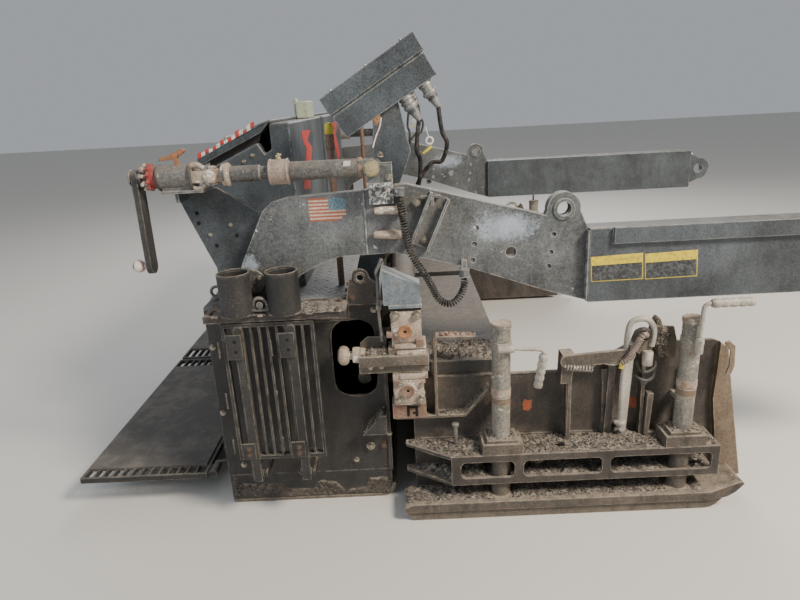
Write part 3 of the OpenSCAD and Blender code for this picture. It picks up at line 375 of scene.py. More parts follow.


# Asphalt crumbs: bitumen-coated grit of 3 to 12 mm, each grain its own grey, paler on faces that point up
def makeCrumbCoat(name, pale, dark, stain):
    material, tree, shader = newMaterial(name)
    place = addNode(tree, "TexCoord", output="Object")
    grains = addNode(tree, "TexVoronoi", {"Vector": place, "Scale": crumbScale}, "Color")
    grainGrey = addNode(tree, "SeparateColor", [grains], "Red")
    cloud = addNode(tree, "TexNoise", {"Vector": place, **patterns["stain"]})
    grain = addNode(tree, "TexNoise", {"Vector": place, **patterns["crumb"]})
    upward = addNode(tree, "SeparateXYZ", [addNode(tree, "NewGeometry", output="Normal")], "Z")
    # darker on faces that point down, paler on faces that point up
    tint = addNode(tree, "Math", [grainGrey, addNode(tree, "MapRange", [upward, *ranges["crumbTop"]])],
                   operation="MULTIPLY")
    tone = addNode(tree, "Mix", {0: tint, 6: toLinear(dark), 7: toLinear(pale)}, 2, data_type="RGBA")
    share = addNode(tree, "MapRange", [cloud, *ranges["stain"]])
    colour = addNode(tree, "Mix", {0: share, 6: tone, 7: toLinear(stain)}, 2, data_type="RGBA")
    bump = addNode(tree, "Bump", {**bumps["crumb"], "Height": grain})
    tree.links.new(colour, shader.inputs["Base Color"])
    tree.links.new(bump, shader.inputs["Normal"])
    shader.inputs["Roughness"].default_value = crumbRoughness
    return material


for finishName, look in plainLooks.items():
    finishes[finishName] = makePlain(finishName, *look)
finishes["asphaltCrumbs"] = makeCrumbCoat("asphaltCrumbs", "#8b8277", "#38342f", "#5c5248")
finishes["rustyCrumbs"] = makeCrumbCoat("rustyCrumbs", "#a58b7b", "#4b382f", "#80604d")
print("finishes made:", len(finishes))

# Which finish each CAD node takes, and how wide its edges are rounded, in millimetres
nodeFinish = {
    "main_plates": ("scouredPlate", 3), "plate_carriers": ("grimyPlate", 2), "frame_walls": ("grimyPlate", 2),
    "bulkheads": ("grimyPlate", 1.5), "deck": ("charcoalEnamel", 1.5), "end_plates": ("grimyPlate", 2),
    "rear_gussets": ("grimyPlate", 2), "slide_guides": ("grimyPlate", 3), "crown_turnbuckle": ("wornTube", 2),
    "junction_box": ("paleGreenShell", 6), "side_shelves": ("smearedPlate", 1.5), "tool_cups": ("grimyPlate", 1.5),
    "uprights": ("charcoalEnamel", 2.5), "depth_cranks": ("grimyPlate", 3), "cabinets": ("charcoalEnamel", 8),
    "hoods": ("charcoalEnamel", 5), "control_posts": ("charcoalEnamel", 2), "control_boxes": ("charcoalEnamel", 4),
    "slide_tubes": ("hazedChrome", 1.5), "slide_bracket": ("flakedCream", 3), "strap_bracket": ("scouredPlate", 2.5),
    "extension_box": ("grimyPlate", 2), "end_gate": ("smearedPlate", 2), "gate_channel": ("smearedPlate", 2.5),
    "jack_tubes": ("chalkyTube", 2.5), "lock_lever": ("scouredPlate", 2), "ski": ("scouredPlate", 4),
    "tow_arm": ("scuffedEnamel", 3), "arm_beam": ("charcoalEnamel", 3.5), "arm_brackets": ("scuffedEnamel", 2),
    "depth_screw": ("wornTube", 2), "nut_tube": ("wornTube", 2.5), "walkway": ("grimyPlate", 1),
    "end_step": ("grimyPlate", 1), "jack_cranks": ("paleEnamel", 0), "curly_cord": ("dustyRubber", 0),
}
# Parts of a node in a finish of their own: low corner, high corner and finish, in millimetres, y outwards
regionFinish = {
    "slide_bracket": [((-95, 1230, 864), (60, 1325, 1002), "primerBlue"),
                      ((-200, 1230, 595), (70, 1325, 700), "scouredPlate"),
                      ((-90, 1230, 400), (60, 1325, 472), "rustyCasting"),
                      ((-270, 1230, 640), (-100, 1330, 700), "flakedCream")],
    "jack_tubes": [((250, 1275, 504), (410, 1385, 534), "flakedCream"),
                   ((930, 1275, 504), (1090, 1385, 534), "flakedCream"),
                   ((930, 1275, 752), (1090, 1385, 775), "flakedCream"),
                   ((250, 1235, 270), (410, 1385, 333), "scouredPlate"),
                   ((930, 1235, 270), (1090, 1385, 333), "scouredPlate")],
    "end_gate": [((1150, 1238, 55), (1300, 1265, 660), "tanPlate")],
    "nut_tube": [((-440, 1260, 1305), (-371, 1350, 1395), "pinkCream")],
    "depth_screw": [((-660, 1275, 1310), (-568, 1335, 1390), "flakedCream")],
    "uprights": [((-692, 1262, 1325), (-608, 1345, 1375), "flakedCream"),
                 ((-810, 1255, 1302), (-689, 1352, 1396), "wornTube")],
    "arm_brackets": [((-128, 1262, 1200), (-18, 1362, 1345), "flakedWhite"),
                     ((-110, 1260, 1090), (0, 1320, 1220), "flakedCream")],
    "end_step": [((-682, 1380, 90), (-640, 1398, 830), "smearedPlate"),
                 ((-496, 1380, 90), (-454, 1398, 830), "smearedPlate")],
    "walkway": [((-1400, 20, 145), (-830, 1170, 160), "dustyMat")],
    "depth_cranks": [((-850, 1265, 1315), (-810, 1345, 1392), "chalkedRed"),
                     ((-940, 1285, 1020), (-900, 1340, 1085), "bleachedKnob")],
    "lock_lever": [((780, 1238, 300), (830, 1305, 668), "paleEnamel")],
}
# Parts of a node that its merged copy carries a little off: low corner, high corner and move in millimetres
shiftedParts = {
    "arm_brackets": [((-104, 1268, 1133), (-12, 1302, 1167), (0, 0, 50)),
                     ((-104, 1268, 1055), (-12, 1302, 1089), (0, 0, 44))],
}
# How a copied node is merged and bevelled: metres, degrees, segments and normal weight
nodeEdges = {
    "merge": 0.00002,
    "flat": 0.6,
    "segments": 2,
    "sharp": 32,
    "smooth": 38,
    "weight": 90,
}
bodyOf = {node: body for body, nodes in frame["record"]["behaviour"]["bodies"].items() for node in nodes}


def pick(*objects):
    if bpy.context.object and bpy.context.object.mode != "OBJECT":
        bpy.ops.object.mode_set(mode="OBJECT")
    bpy.ops.object.select_all(action="DESELECT")
    for obj in objects:
        obj.select_set(True)
    if objects:
        bpy.context.view_layer.objects.active = objects[0]


# Edit mode on one piece, with every face picked unless another action or none is named
@contextlib.contextmanager
def editing(piece, action="SELECT"):
    pick(piece)
    bpy.ops.object.mode_set(mode="EDIT")
    if action:
        bpy.ops.mesh.select_all(action=action)
    yield
    bpy.ops.object.mode_set(mode="OBJECT")


def applyModifier(obj, kind, **settings):
    pick(obj)
    modifier = obj.modifiers.new(kind.lower(), kind)
    for name, value in settings.items():
        setattr(modifier, name, value)
    bpy.ops.object.modifier_apply(modifier=modifier.name)


def addToScene(name, data):
    made = bpy.data.objects.new(name, data)
    bpy.context.scene.collection.objects.link(made)
    return made


def plainName(node):
    return node.rsplit("_", 1)[0] if node.endswith(("_right", "_left")) else node


def isInside(place, low, high):
    return all(low[i] < place[i] < high[i] for i in range(3))


# Gives the faces that lie inside a region a finish of their own
def paintRegions(piece, regions):
    for low, high, finish in regions:
        piece.data.materials.append(finishes[finish])
        index = len(piece.data.materials) - 1
        for face in piece.data.polygons:
            if isInside(inMillimetres(face.center), low, high):
                face.material_index = index


def shiftParts(piece, parts):
    for low, high, move in parts:
        with editing(piece, "DESELECT"):
            pass
        for vertex in piece.data.vertices:
            vertex.select = isInside(inMillimetres(vertex.co), low, high)
        with editing(piece, None):
            bpy.ops.transform.translate(value=[v * mm for v in move])


# A CAD node's own shape with rounded edges: its copy is merged, cleaned and bevelled, and stands for the node
def roundEdges(node, finish, width, look):
    piece = addToScene(node + "_finished", frame["nodes"][node].data.copy())
    with editing(piece):
        bpy.ops.mesh.remove_doubles(threshold=look["merge"])
        bpy.ops.mesh.dissolve_limited(angle_limit=math.radians(look["flat"]))
    shiftParts(piece, shiftedParts.get(plainName(node), []))
    applyModifier(piece, "BEVEL", width=width * mm, segments=look["segments"], limit_method="ANGLE",
                  angle_limit=math.radians(look["sharp"]), use_clamp_overlap=True, harden_normals=False)
    pick(piece)
    bpy.ops.object.shade_smooth_by_angle(angle=math.radians(look["smooth"]))
    applyModifier(piece, "WEIGHTED_NORMAL", keep_sharp=True, weight=look["weight"])
    piece.data.materials.clear()
    piece.data.materials.append(finishes[finish])
    paintRegions(piece, regionFinish.get(plainName(node), []))
    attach(piece, bodyOf[node])
    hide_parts(node)


for node in sorted(frame["nodes"]):
    frame["nodes"][node].data.materials.clear()
    finish, width = nodeFinish[plainName(node)]
    frame["nodes"][node].data.materials.append(finishes[finish])
    if width:
        roundEdges(node, finish, width, nodeEdges)
print("edges rounded")


# Curly cord of the control box: a helix along the route of its CAD tube
curlyCord = {
    "route": [
        (-12, 1296, 1250), (-12, 1296, 1238), (-9, 1306, 1220), (-5, 1324, 1190), (0, 1334, 1155), (6, 1336, 1110),
        (20, 1336, 1055), (44, 1336, 1010), (70, 1334, 966), (90, 1332, 925), (108, 1330, 888),
        (136, 1326, 866), (164, 1318, 868), (188, 1306, 890), (202, 1294, 918), (204, 1290, 940), (204, 1290, 952),
    ],
    "step": 1.5,
    "coilRadius": 10.5,
    "wireDiameter": 6.5,
    "pitch": 9.5,
    "pointsPerTurn": 14,
    "easeLength": 12,
    "look": 3,
}


def smoothRoute(points, step):
    line = []
    for i in range(len(points) - 1):
        a = points[max(i - 1, 0)]
        b, c = points[i], points[i + 1]
        d = points[min(i + 2, len(points) - 1)]
        count = max(2, int((c - b).length / step))
        for k in range(count):
            t = k / count
            line.append(0.5 * ((2 * b) + (c - a) * t + (2 * a - 5 * b + 4 * c - d) * t * t
                               + (3 * b - a - 3 * c + d) * t ** 3))
    line.append(points[-1])
    return line


def makeCord(name, points, radius, sides=3):
    curve = bpy.data.curves.new(name, "CURVE")
    curve.dimensions = "3D"
    curve.bevel_depth = radius
    curve.bevel_resolution = sides
    curve.use_fill_caps = True
    spline = curve.splines.new("POLY")
    spline.points.add(len(points) - 1)
    for i, point in enumerate(points):
        spline.points[i].co = (*point, 1)
    spline.use_smooth = True
    return addToScene(name, curve)


def helixPoints(cord):
    centre = smoothRoute([at(*p, side=-1) for p in cord["route"]], cord["step"] * mm)
    along = [0.0]
    for a, b in zip(centre, centre[1:]):
        along.append(along[-1] + (b - a).length)
    total = along[-1]
    turns = round(total / (cord["pitch"] * mm))
    count = turns * cord["pointsPerTurn"]
    reach, ends = cord["look"], len(centre) - 1
    points = []
    j = 0
    previous = Vector((1, 0, 0))
    for i in range(count + 1):
        s = total * i / count
        while j < len(along) - 2 and along[j + 1] < s:
            j += 1
        t = (s - along[j]) / max(along[j + 1] - along[j], 1e-9)
        middle = centre[j].lerp(centre[j + 1], t)
        way = (centre[min(j + reach, ends)] - centre[max(j - reach, 0)]).normalized()
        previous = (previous - way * previous.dot(way)).normalized()
        angle = fullTurn * i / cord["pointsPerTurn"]
        ease = min(1.0, s / (cord["easeLength"] * mm), (total - s) / (cord["easeLength"] * mm))
        around = previous * math.cos(angle) + way.cross(previous) * math.sin(angle)
        points.append(middle + around * cord["coilRadius"] * mm * ease)
    return points


def makeCurlyCord(cord):
    line = helixPoints(cord)
    diameter = cord["wireDiameter"] * mm
    piece = makeCord("curlyCord", line, diameter / 2)
    piece.data.materials.append(finishes["dustyRubber"])
    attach(piece, "arm_right")
    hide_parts("curly_cord_right")


makeCurlyCord(curlyCord)


# Small shapes that the pieces below are joined from: side first, then places in millimetres, y outwards
roundedAngle = 0.6
mergeDistance = 0.00001


def settle(name, width=0.0, segments=2):
    piece = bpy.context.object
    piece.name = name
    bpy.ops.object.transform_apply(location=True, rotation=True, scale=True)
    if width:
        applyModifier(piece, "BEVEL", width=width * mm, segments=segments, limit_method="ANGLE",
                      angle_limit=roundedAngle)
    return piece


def upTo(a, b):
    return (b - a).to_track_quat("Z", "Y").to_euler()


def addBlock(side, low, high, width=1.5):
    pick()
    a, b = at(*low, side), at(*high, side)
    bpy.ops.mesh.primitive_cube_add(size=1, location=(a + b) / 2)
    bpy.context.object.scale = [abs(b[i] - a[i]) for i in range(3)]
    return settle("block", width)


def addRod(side, start, end, radius, sides=20, width=0.8):
    pick()
    a, b = at(*start, side), at(*end, side)
    bpy.ops.mesh.primitive_cylinder_add(vertices=sides, radius=radius * mm, depth=(b - a).length,
                                        location=(a + b) / 2, rotation=upTo(a, b))
    return settle("rod", width)


# A flat outline that faces out or to the front, given its thickness by extruding
def addPlate(side, outline, start, end, width=1.2, facing="out"):
    pick()
    bpy.ops.mesh.primitive_circle_add(vertices=len(outline), radius=1, fill_type="NGON")
    piece = bpy.context.object
    for vertex, (u, v) in zip(piece.data.vertices, outline):
        vertex.co = at(*((u, start, v) if facing == "out" else (start, u, v)), side)
    way = Vector((0, side, 0) if facing == "out" else (1, 0, 0))
    with editing(piece):
        bpy.ops.mesh.extrude_region_move(TRANSFORM_OT_translate={"value": way * (end - start) * mm})
        bpy.ops.mesh.select_all(action="SELECT")
        bpy.ops.mesh.normals_make_consistent(inside=False)
    return settle("plate", width)


# A turned shape: its half section [radius, height] is spun about an axis
def addTurned(side, profile, base, tip, steps=28):
    pick()
    a, b = at(*base, side), at(*tip, side)
    bpy.ops.mesh.primitive_circle_add(vertices=len(profile), radius=1, fill_type="NOTHING")
    piece = bpy.context.object
    for vertex, (r, h) in zip(piece.data.vertices, profile):
        vertex.co = (r * mm, 0, h * mm)
    applyModifier(piece, "SCREW", axis="Z", angle=fullTurn, steps=steps, render_steps=steps,
                  use_merge_vertices=True, merge_threshold=mergeDistance)
    with editing(piece):
        bpy.ops.mesh.remove_doubles(threshold=mergeDistance)
        bpy.ops.mesh.dissolve_degenerate(threshold=mergeDistance)
        bpy.ops.mesh.select_all(action="SELECT")
        bpy.ops.mesh.delete_loose()
        bpy.ops.mesh.normals_make_consistent(inside=False)
    piece.location = a
    piece.rotation_euler = upTo(a, b)
    return settle("turned")


# A rod along a line of places in metres
def addLine(points, radius, sides):
    pick(makeCord("line", points, radius * mm, sides))
    bpy.ops.object.convert(target="MESH")
    return bpy.context.object


def addTube(side, route, radius, step=4.0, sides=4):
    return addLine(smoothRoute([at(*p, side) for p in route], step * mm), radius, sides)


weldStep = 5
weldRipple = 0.16


# Weld bead: a rope of small ripples, half sunk in the corner it fills
def addWeld(side, points, radius, seed=3):
    dice = random.Random(seed)
    route = smoothRoute([at(*p, side) for p in points], weldStep * mm)
    spread = radius * weldRipple * mm
    route = [p + Vector([dice.uniform(-spread, spread) for _ in range(3)]) for p in route]
    return addLine(route, radius, 2)


def joinParts(parts):
    pick(*parts)
    if len(parts) > 1:
        bpy.ops.object.join()
    return bpy.context.object


# Hexagon bolt of 18 mm across the flats with its washer and thread end, along +Z: sides, radius, depth and
# height in metres, bevel in millimetres and its segments
boltLook = {
    "head": (6, 0.0104, 0.0078, 0.0062, 0.9, 2),
    "washer": (24, 0.0135, 0.0026, 0.0011, 0.5, 1),
    "thread": (12, 0.0052, 0.0034, 0.0116, 0.5, 1),
}


def modelBolt(look):
    parts = []
    for name, (count, radius, depth, height, width, segments) in look.items():
        pick()
        bpy.ops.mesh.primitive_cylinder_add(vertices=count, radius=radius, depth=depth, location=(0, 0, height))
        parts.append(settle(name, width, segments))
    return joinParts(parts)


boltModel = modelBolt(boltLook)
ways = {"out": (0, 1, 0), "down": (0, 0, -1), "up": (0, 0, 1), "front": (1, 0, 0)}


# A copy of the bolt that points one of the ways, or along a direction of its own
def addBolt(side, x, y, z, way="out", size=1.0):
    copy = addToScene("bolt", boltModel.data.copy())
    direction = Vector(ways.get(way, way))
    direction.y *= side
    turned = direction.to_track_quat("Z", "Y").to_matrix().to_4x4() @ Matrix.Rotation(0.7 * x + z, 4, "Z")
    copy.matrix_world = Matrix.Translation(at(x, y, z, side)) @ turned @ Matrix.Scale(size, 4)
    pick(copy)
    bpy.ops.object.transform_apply(location=True, rotation=True, scale=True)
    return copy


def finishPiece(name, parts, finish, body, angle=38):
    piece = joinParts(parts)
    piece.name = name
    piece.data.name = name
    bpy.ops.object.shade_smooth_by_angle(angle=math.radians(angle))
    piece.data.materials.clear()
    piece.data.materials.append(finishes[finish])
    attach(piece, body)
    return piece


# Models the pieces of one body on both sides. Each piece: finish, slot and the shapes it is joined from, and
# each shape: its maker and the maker's values
def dress(bodyName, pieces):
    for sideName, side in sides.items():
        body = bodyName if bodyName == "root" else bodyName + "_" + sideName
        for name, (finish, slotName, *shapes) in pieces.items():
            parts = [maker(side, *values) for maker, *values in shapes]
            finishPiece(name + "_" + sideName, parts, finish, body)


def rect(u0, v0, u1, v1):
    return [(u0, v0), (u0, v1), (u1, v1), (u1, v0)]


# Offsets round an ellipse, its first and last at the same angle
def ellipse(reachU, reachV, count, start=0.0):
    angles = [start + fullTurn * k / count for k in range(count + 1)]
    return [(reachU * math.cos(a), reachV * math.sin(a)) for a in angles]


# Shapes of one maker, a row of values for each
def each(maker, rows):
    return [(maker, *row) for row in rows]


# Stones: one grain is modelled and copied into a heap, turned and stretched by a fixed seed
def modelGrain():
    pick()
    bpy.ops.mesh.primitive_ico_sphere_add(subdivisions=1, radius=1)
    grain = bpy.context.object
    dice = random.Random(11)
    for vertex in grain.data.vertices:
        vertex.co *= dice.uniform(0.78, 1.12)
    points = [vertex.co.copy() for vertex in grain.data.vertices]
    faces = [tuple(face.vertices) for face in grain.data.polygons]
    bpy.data.objects.remove(grain)
    return points, faces


grainPoints, grainFaces = modelGrain()


def edgeDistance(point, outline):
    u, v = point
    inside = False
    nearest = math.inf
    for i in range(len(outline)):
        (ua, va), (ub, vb) = outline[i - 1], outline[i]
        if (va > v) != (vb > v) and u < (ub - ua) * (v - va) / (vb - va) + ua:
            inside = not inside
        du, dv = ub - ua, vb - va
        t = max(0.0, min(1.0, ((u - ua) * du + (v - va) * dv) / (du * du + dv * dv)))
        nearest = min(nearest, math.hypot(u - ua - t * du, v - va - t * dv))
    return nearest if inside else -nearest


# A heap in millimetres and factors: its rim and the rim round a kept circle as wide as so many heights, the mean,
# swing, least and most of its rise, the ripple on its lumps, how deep mound and grains sink, what still shows of
# the mound, its skin, and the size, lift, turn and stretch of its grains
heapLook = {
    "rim": 1.6, "keptRim": 0.8,
    "mean": 0.62, "swing": 0.8, "least": 0.05, "most": 1.25,
    "ripple": 11, "rippleShare": 0.5,
    "sink": 1.5, "shown": 0.8, "skin": 1.2,
    "grainSize": (0.35, 0.9, 2.2), "grainLift": 0.45, "grainTurn": 6.3,
    "stretch": [(0.75, 1.3), (0.75, 1.2), (0.6, 1.0)],
    "fewest": 0.25,
}


# A heap of crumbs on a flat outline: a lumpy mound with loose grains over it. "level" is the height of what
# carries it, or (x0, z0, x1, z1) on a slope; "density" counts grains in a square millimetre; "keepOut" lists
# circles (x, y, r) that stay free; an upright heap clings to a wall, and its level is that wall's y
def makeHeap(side, seed, outline, level, height, density, keepOut=(), grain=4.2, cell=6, lump=34, upright=False):
    dice = random.Random(seed)
    us, vs = [p[0] for p in outline], [p[1] for p in outline]
    uMin, uMax, vMin, vMax = min(us), max(us), min(vs), max(vs)
    look, sink, shown = heapLook, heapLook["sink"], heapLook["shown"]

    def under(u):
        if isinstance(level, tuple):
            return level[1] + (u - level[0]) * (level[3] - level[1]) / (level[2] - level[0])
        return level

    def lift(u, v):
        room = edgeDistance((u, v), outline)
        for cu, cv, r in keepOut:
            room = min(room, math.hypot(u - cu, v - cv) - r + height * look["keptRim"])
        share = max(0.0, min(1.0, room / (height * look["rim"])))
        share = share * share * (3 - 2 * share)
        wave = noise.noise(Vector((u, v, seed * 7.3)) / lump)
        wave += look["rippleShare"] * noise.noise(Vector((u, v, seed * 3.1)) / look["ripple"])
        return share, height * share * max(look["least"], min(look["most"], look["mean"] + look["swing"] * wave))

    def place(u, v, w):
        return at(u, level + w, v, side) if upright else at(u, v, under(u) + w, side)

    pick()
    bpy.ops.mesh.primitive_grid_add(x_subdivisions=max(3, int((uMax - uMin) / cell)),
                                    y_subdivisions=max(3, int((vMax - vMin) / cell)), size=1)
    mound = bpy.context.object
    for vertex in mound.data.vertices:
        u, v = uMin + (vertex.co.x + 0.5) * (uMax - uMin), vMin + (vertex.co.y + 0.5) * (vMax - vMin)
        share, rise = lift(u, v)
        vertex.co = place(u, v, rise - sink if share > 0 else -2 * sink)
    with editing(mound, "DESELECT"):
        pass
    for face in mound.data.polygons:
        x, y, z = inMillimetres(face.center)
        face.select = (y < level - shown) if upright else (z < under(x) - shown)
    with editing(mound, None):
        bpy.ops.mesh.delete(type="FACE")
        bpy.ops.mesh.select_all(action="SELECT")
        bpy.ops.mesh.normals_make_consistent(inside=False)
    made = []
    if len(mound.data.polygons):
        applyModifier(mound, "SOLIDIFY", thickness=look["skin"] * mm, offset=0)
        made.append(mound)
    else:
        bpy.data.objects.remove(mound)
    vertices, faces = [], []
    least, spread, bias = look["grainSize"]
    for _ in range(int((uMax - uMin) * (vMax - vMin) * density)):
        u, v = dice.uniform(uMin, uMax), dice.uniform(vMin, vMax)
        share, rise = lift(u, v)
        if share <= 0 or dice.random() > look["fewest"] + (1 - look["fewest"]) * share:
            continue
        size = grain * (least + spread * dice.random() ** bias)
        turn = Matrix.Rotation(dice.uniform(0, look["grainTurn"]), 3, (dice.uniform(-1, 1), dice.uniform(-1, 1), 0.3))
        stretch = Vector([dice.uniform(*limits) for limits in look["stretch"]])
        centre = place(u, v, rise - sink + size * look["grainLift"])
        first = len(vertices)
        vertices += [centre + turn @ (point * stretch) * size * mm for point in grainPoints]
        faces += [tuple(first + k for k in face) for face in grainFaces]
    if vertices:
        mesh = bpy.data.meshes.new("grains")
        mesh.from_pydata(vertices, [], faces)
        made.append(addToScene("grains", mesh))
    return made


# Asphalt crumbs and mud that lie on the machine: body and slot, then heaps of outline, level, height, density,
# circles kept free and other values
jackPlaces = [(328, 1331, 38), (1012, 1331, 38)]
crumbHeaps = {
    "channelTop": ("extension", "grimy_steel", [
        ([(-30, 1244), (-28, 1266), (136, 1376), (252, 1378), (252, 1276), (250, 1244)], 274, 11, 0.02),
        (rect(236, 1250, 420, 1379), 274, 24, 0.02, [(290, 1331, 60), (328, 1331, 66), (366, 1331, 60)]),
        ([(404, 1246), (404, 1378), (590, 1378), (590, 1246)], 274, 8, 0.017, [(470, 1321, 13), (556, 1321, 22)]),
        (rect(585, 1250, 935, 1379), 274, 13, 0.018, [(628, 1321, 13), (760, 1321, 13)]),
        ([(640, 1244), (650, 1300), (720, 1320), (880, 1312), (900, 1244)], 274, 30, 0.016),
        (rect(915, 1250, 1134, 1379), 274, 26, 0.02, [(974, 1331, 60), (1012, 1331, 66), (1050, 1331, 60)]),
    ]),
    "saddles": ("extension", "grimy_steel", [
        (rect(268, 1287, 388, 1375), 331, 26, 0.03, [(328, 1331, 33)]),
        (rect(952, 1287, 1072, 1375), 331, 30, 0.03, [(1012, 1331, 33)]),
        (rect(258, 1284, 300, 1379), 316, 22, 0.03),
        (rect(940, 1284, 984, 1379), 316, 24, 0.03),
    ]),
    "channelFloor": ("extension", "grimy_steel", [
        ([(-26, 1244), (-24, 1266), (136, 1370), (290, 1370), (290, 1244)], 161, 30, 0.014, [(328, 1331, 40)]),
        (rect(370, 1244, 960, 1370), 161, 17, 0.012, jackPlaces),
        (rect(1052, 1244, 1136, 1370), 161, 17, 0.012),
    ]),
    "skiTop": ("ski_body", "wear_steel", [
        (rect(-44, 1273, 296, 1382), 79, 11, 0.02, jackPlaces),
        ([(-44, 1290), (-44, 1382), (96, 1382)], 79, 25, 0.02),
        (rect(360, 1273, 970, 1382), 79, 11, 0.018, jackPlaces),
        (rect(1050, 1275, 1106, 1382), 79, 10, 0.016, jackPlaces),
    ]),
    "strap": ("extension", "grimy_steel", [
        (rect(98, 1244, 194, 1287), 403, 9, 0.02),
        (rect(200, 1243, 290, 1288), (200, 404, 290, 509), 13, 0.03),
        (rect(52, 1243, 84, 1288), 403, 26, 0.04),
        (rect(-62, 1243, -30, 1288), 403, 7, 0.02),
    ]),
    "boxTop": ("extension", "grimy_steel", [(rect(70, 1020, 352, 1222), 599, 24, 0.010)]),
    "guideRail": ("extension", "grimy_steel", [
        ([(-186, 1252), (-186, 1324), (-58, 1328), (-54, 1252)], 675, 20, 0.03),
    ]),
    "shelf": ("root", "grimy_steel", [
        (rect(-700, 1224, -230, 1374), 869.5, 5, 0.004, [(-600, 1340, 60), (-433, 1340, 60), (-693, 1316, 34)],
         {"grain": 3.2}),
        (rect(-200, 1222, -112, 1286), (-200, 330, -125, 410), 8, 0.02, [(-150, 1256, 18)]),
    ]),
    "plateSide": ("root", "wear_steel", [
        ([(-760, 14), (-764, 100), (-742, 128), (-725, 96), (-640, 88), (-560, 92), (-528, 62), (-430, 58),
          (-400, 96), (-330, 84), (-296, 44), (-214, 54), (-196, 94), (-120, 100), (-106, 60), (-106, 14)],
         1220, 7, 0.006, (), {"upright": True, "grain": 3.4, "cell": 5, "lump": 60}),
        ([(-762, 14), (-764, 120), (-738, 134), (-722, 88), (-716, 14)],
         1220, 16, 0.05, (), {"upright": True, "cell": 5}),
    ]),
}
rustyHeap = (rect(100, 1243, 244, 1288), (100, 726, 244, 720), 24, 0.03)
crumbAngle = 20


def makeHeaps(side, seed, heaps):
    parts = []
    for k, (outline, level, height, density, *more) in enumerate(heaps):
        keepOut = more[0] if more else ()
        others = more[1] if len(more) > 1 else {}
        parts += makeHeap(side, seed + k, outline, level, height, density, keepOut, **others)
    return parts


def spreadCrumbs(side, sideName):
    for number, (name, (body, slotName, heaps)) in enumerate(crumbHeaps.items()):
        parts = makeHeaps(side, 10 * number + (0 if side < 0 else 500), heaps)
        rides = body if body == "root" else body + "_" + sideName
        finishPiece("crumbs_" + name + "_" + sideName, parts, "asphaltCrumbs", rides, crumbAngle)
    finishPiece("crumbs_strapShelf_" + sideName, makeHeap(side, 77 + side, *rustyHeap), "rustyCrumbs",
                "extension_" + sideName, crumbAngle)


for sideName, side in sides.items():
    spreadCrumbs(side, sideName)
print("crumbs spread")


# Slide bracket: lip, groove, discs, keyed foot, stepped plates, clamp castings over the two tubes with their
# rusty square nuts, and a big adjusting bolt with its domed knob and locknut; the shade in the groove, in the
# holes of the discs and in the slot of the foot is painted on as near-black blocks and plugs
holedDisc = [(6, 0), (25, 0), (26, 1.5), (26, 5), (24, 6.5), (17, 5.8), (15, 4.4), (9, 4.2), (6, 3)]
slideBracket = {
    "bracketLip": ("primerBlue", "rusty_steel", (addBlock, (-70, 1241, 854), (48, 1325, 867), 2)),
    # painted shade: a near-black block under the lip for the shade in the groove
    "bracketGrooveShade": ("darkHollow", "rusty_steel", (addBlock, (-67, 1243, 846), (45, 1321, 854), 1)),
    "bracketSteps": ("flakedCream", "rusty_steel", *each(addBlock, [
        ((-58, 1241, 699), (58, 1326, 716), 3), ((-50, 1241, 675), (56, 1330, 693), 3),
        ((-44, 1241, 578), (60, 1326, 600), 3), ((-36, 1241, 556), (50, 1322, 578), 3)])),
    "bracketBeam": ("scouredPlate", "rusty_steel", (addBlock, (-190, 1241, 636), (66, 1331, 676), 4)),
    "bracketDisc768": ("orangeRust", "rusty_steel", (addTurned, holedDisc, (-16, 1328, 768), (-16, 1340, 768))),
    # painted shade: a near-black plug at the back of the disc's hole, and the same for the lower disc
    "bracketHoleShade768": ("darkHollow", "rusty_steel", (addRod, (-16, 1326, 768), (-16, 1329, 768), 7)),
    "bracketDisc533": ("rustyCasting", "rusty_steel", (addTurned, holedDisc, (-16, 1328, 533), (-16, 1340, 533))),
    "bracketHoleShade533": ("darkHollow", "rusty_steel", (addRod, (-16, 1326, 533), (-16, 1329, 533), 7)),
    # painted shade: thin near-black plates on the foot for the shade in its H-shaped slot
    "footSlotShade": ("darkHollow", "rusty_steel", *each(addBlock, [
        ((-24, 1303, 414), (-14, 1305.2, 458), 0.4), ((-14, 1303, 446), (18, 1305.2, 456), 0.4),
        ((8, 1303, 412), (18, 1305.2, 446), 0.4), ((-2, 1303, 422), (8, 1305.2, 432), 0.4)])),
    "bracketCheeks": ("flakedCream", "rusty_steel", *each(addPlate, [
        ([(-66, 800), (-60, 842), (38, 842), (44, 800), (30, 722), (-52, 722)], 1312, 1317, 2),
        ([(-64, 480), (-68, 520), (-50, 566), (34, 566), (48, 520), (40, 480)], 1320, 1324, 2)])),
    "bracketNuts": ("rustyCasting", "rusty_steel", *each(addBlock, [
        ((-84, 1296, 742), (-58, 1319, 762), 2), ((22, 1300, 704), (52, 1330, 738), 5),
        ((-64, 1318, 556), (-40, 1328, 576), 3)])),
    "bracketBolts": ("zincBolt", "bare_steel", *each(addBolt, [
        (-50, 1317, 826, "out", 1.35), (28, 1317, 826, "out", 1.35), (-50, 1324, 494, "out", 1.2),
        (30, 1324, 494, "out", 1.2), (-44, 1324, 560, "out", 0.8), (34, 1324, 552, "out", 0.8),
        (-150, 1322, 636, "down", 1.0), (-110, 1322, 636, "down", 0.9)])),
    "adjustingBolt": (
        "flakedCream", "rusty_steel",
        (addTurned, [(0, -8), (25, -8), (34, 0), (37, 12), (34, 24), (24, 32), (0, 34)], (-236, 1285, 668),
         (-262, 1285, 668)),
        (addRod, (-214, 1285, 668), (-186, 1285, 668), 33, 6, 3),
        (addTurned, [(0, 0), (27, 0), (28, 4), (24, 20), (0, 20)], (-186, 1285, 668), (-150, 1285, 668))),
    "bracketBackPlate": ("scouredPlate", "rusty_steel", (
        addPlate, [(-192, 640), (-188, 700), (-160, 724), (-90, 724), (-86, 640)], 1242, 1250, 2)),
}
dress("extension", slideBracket)


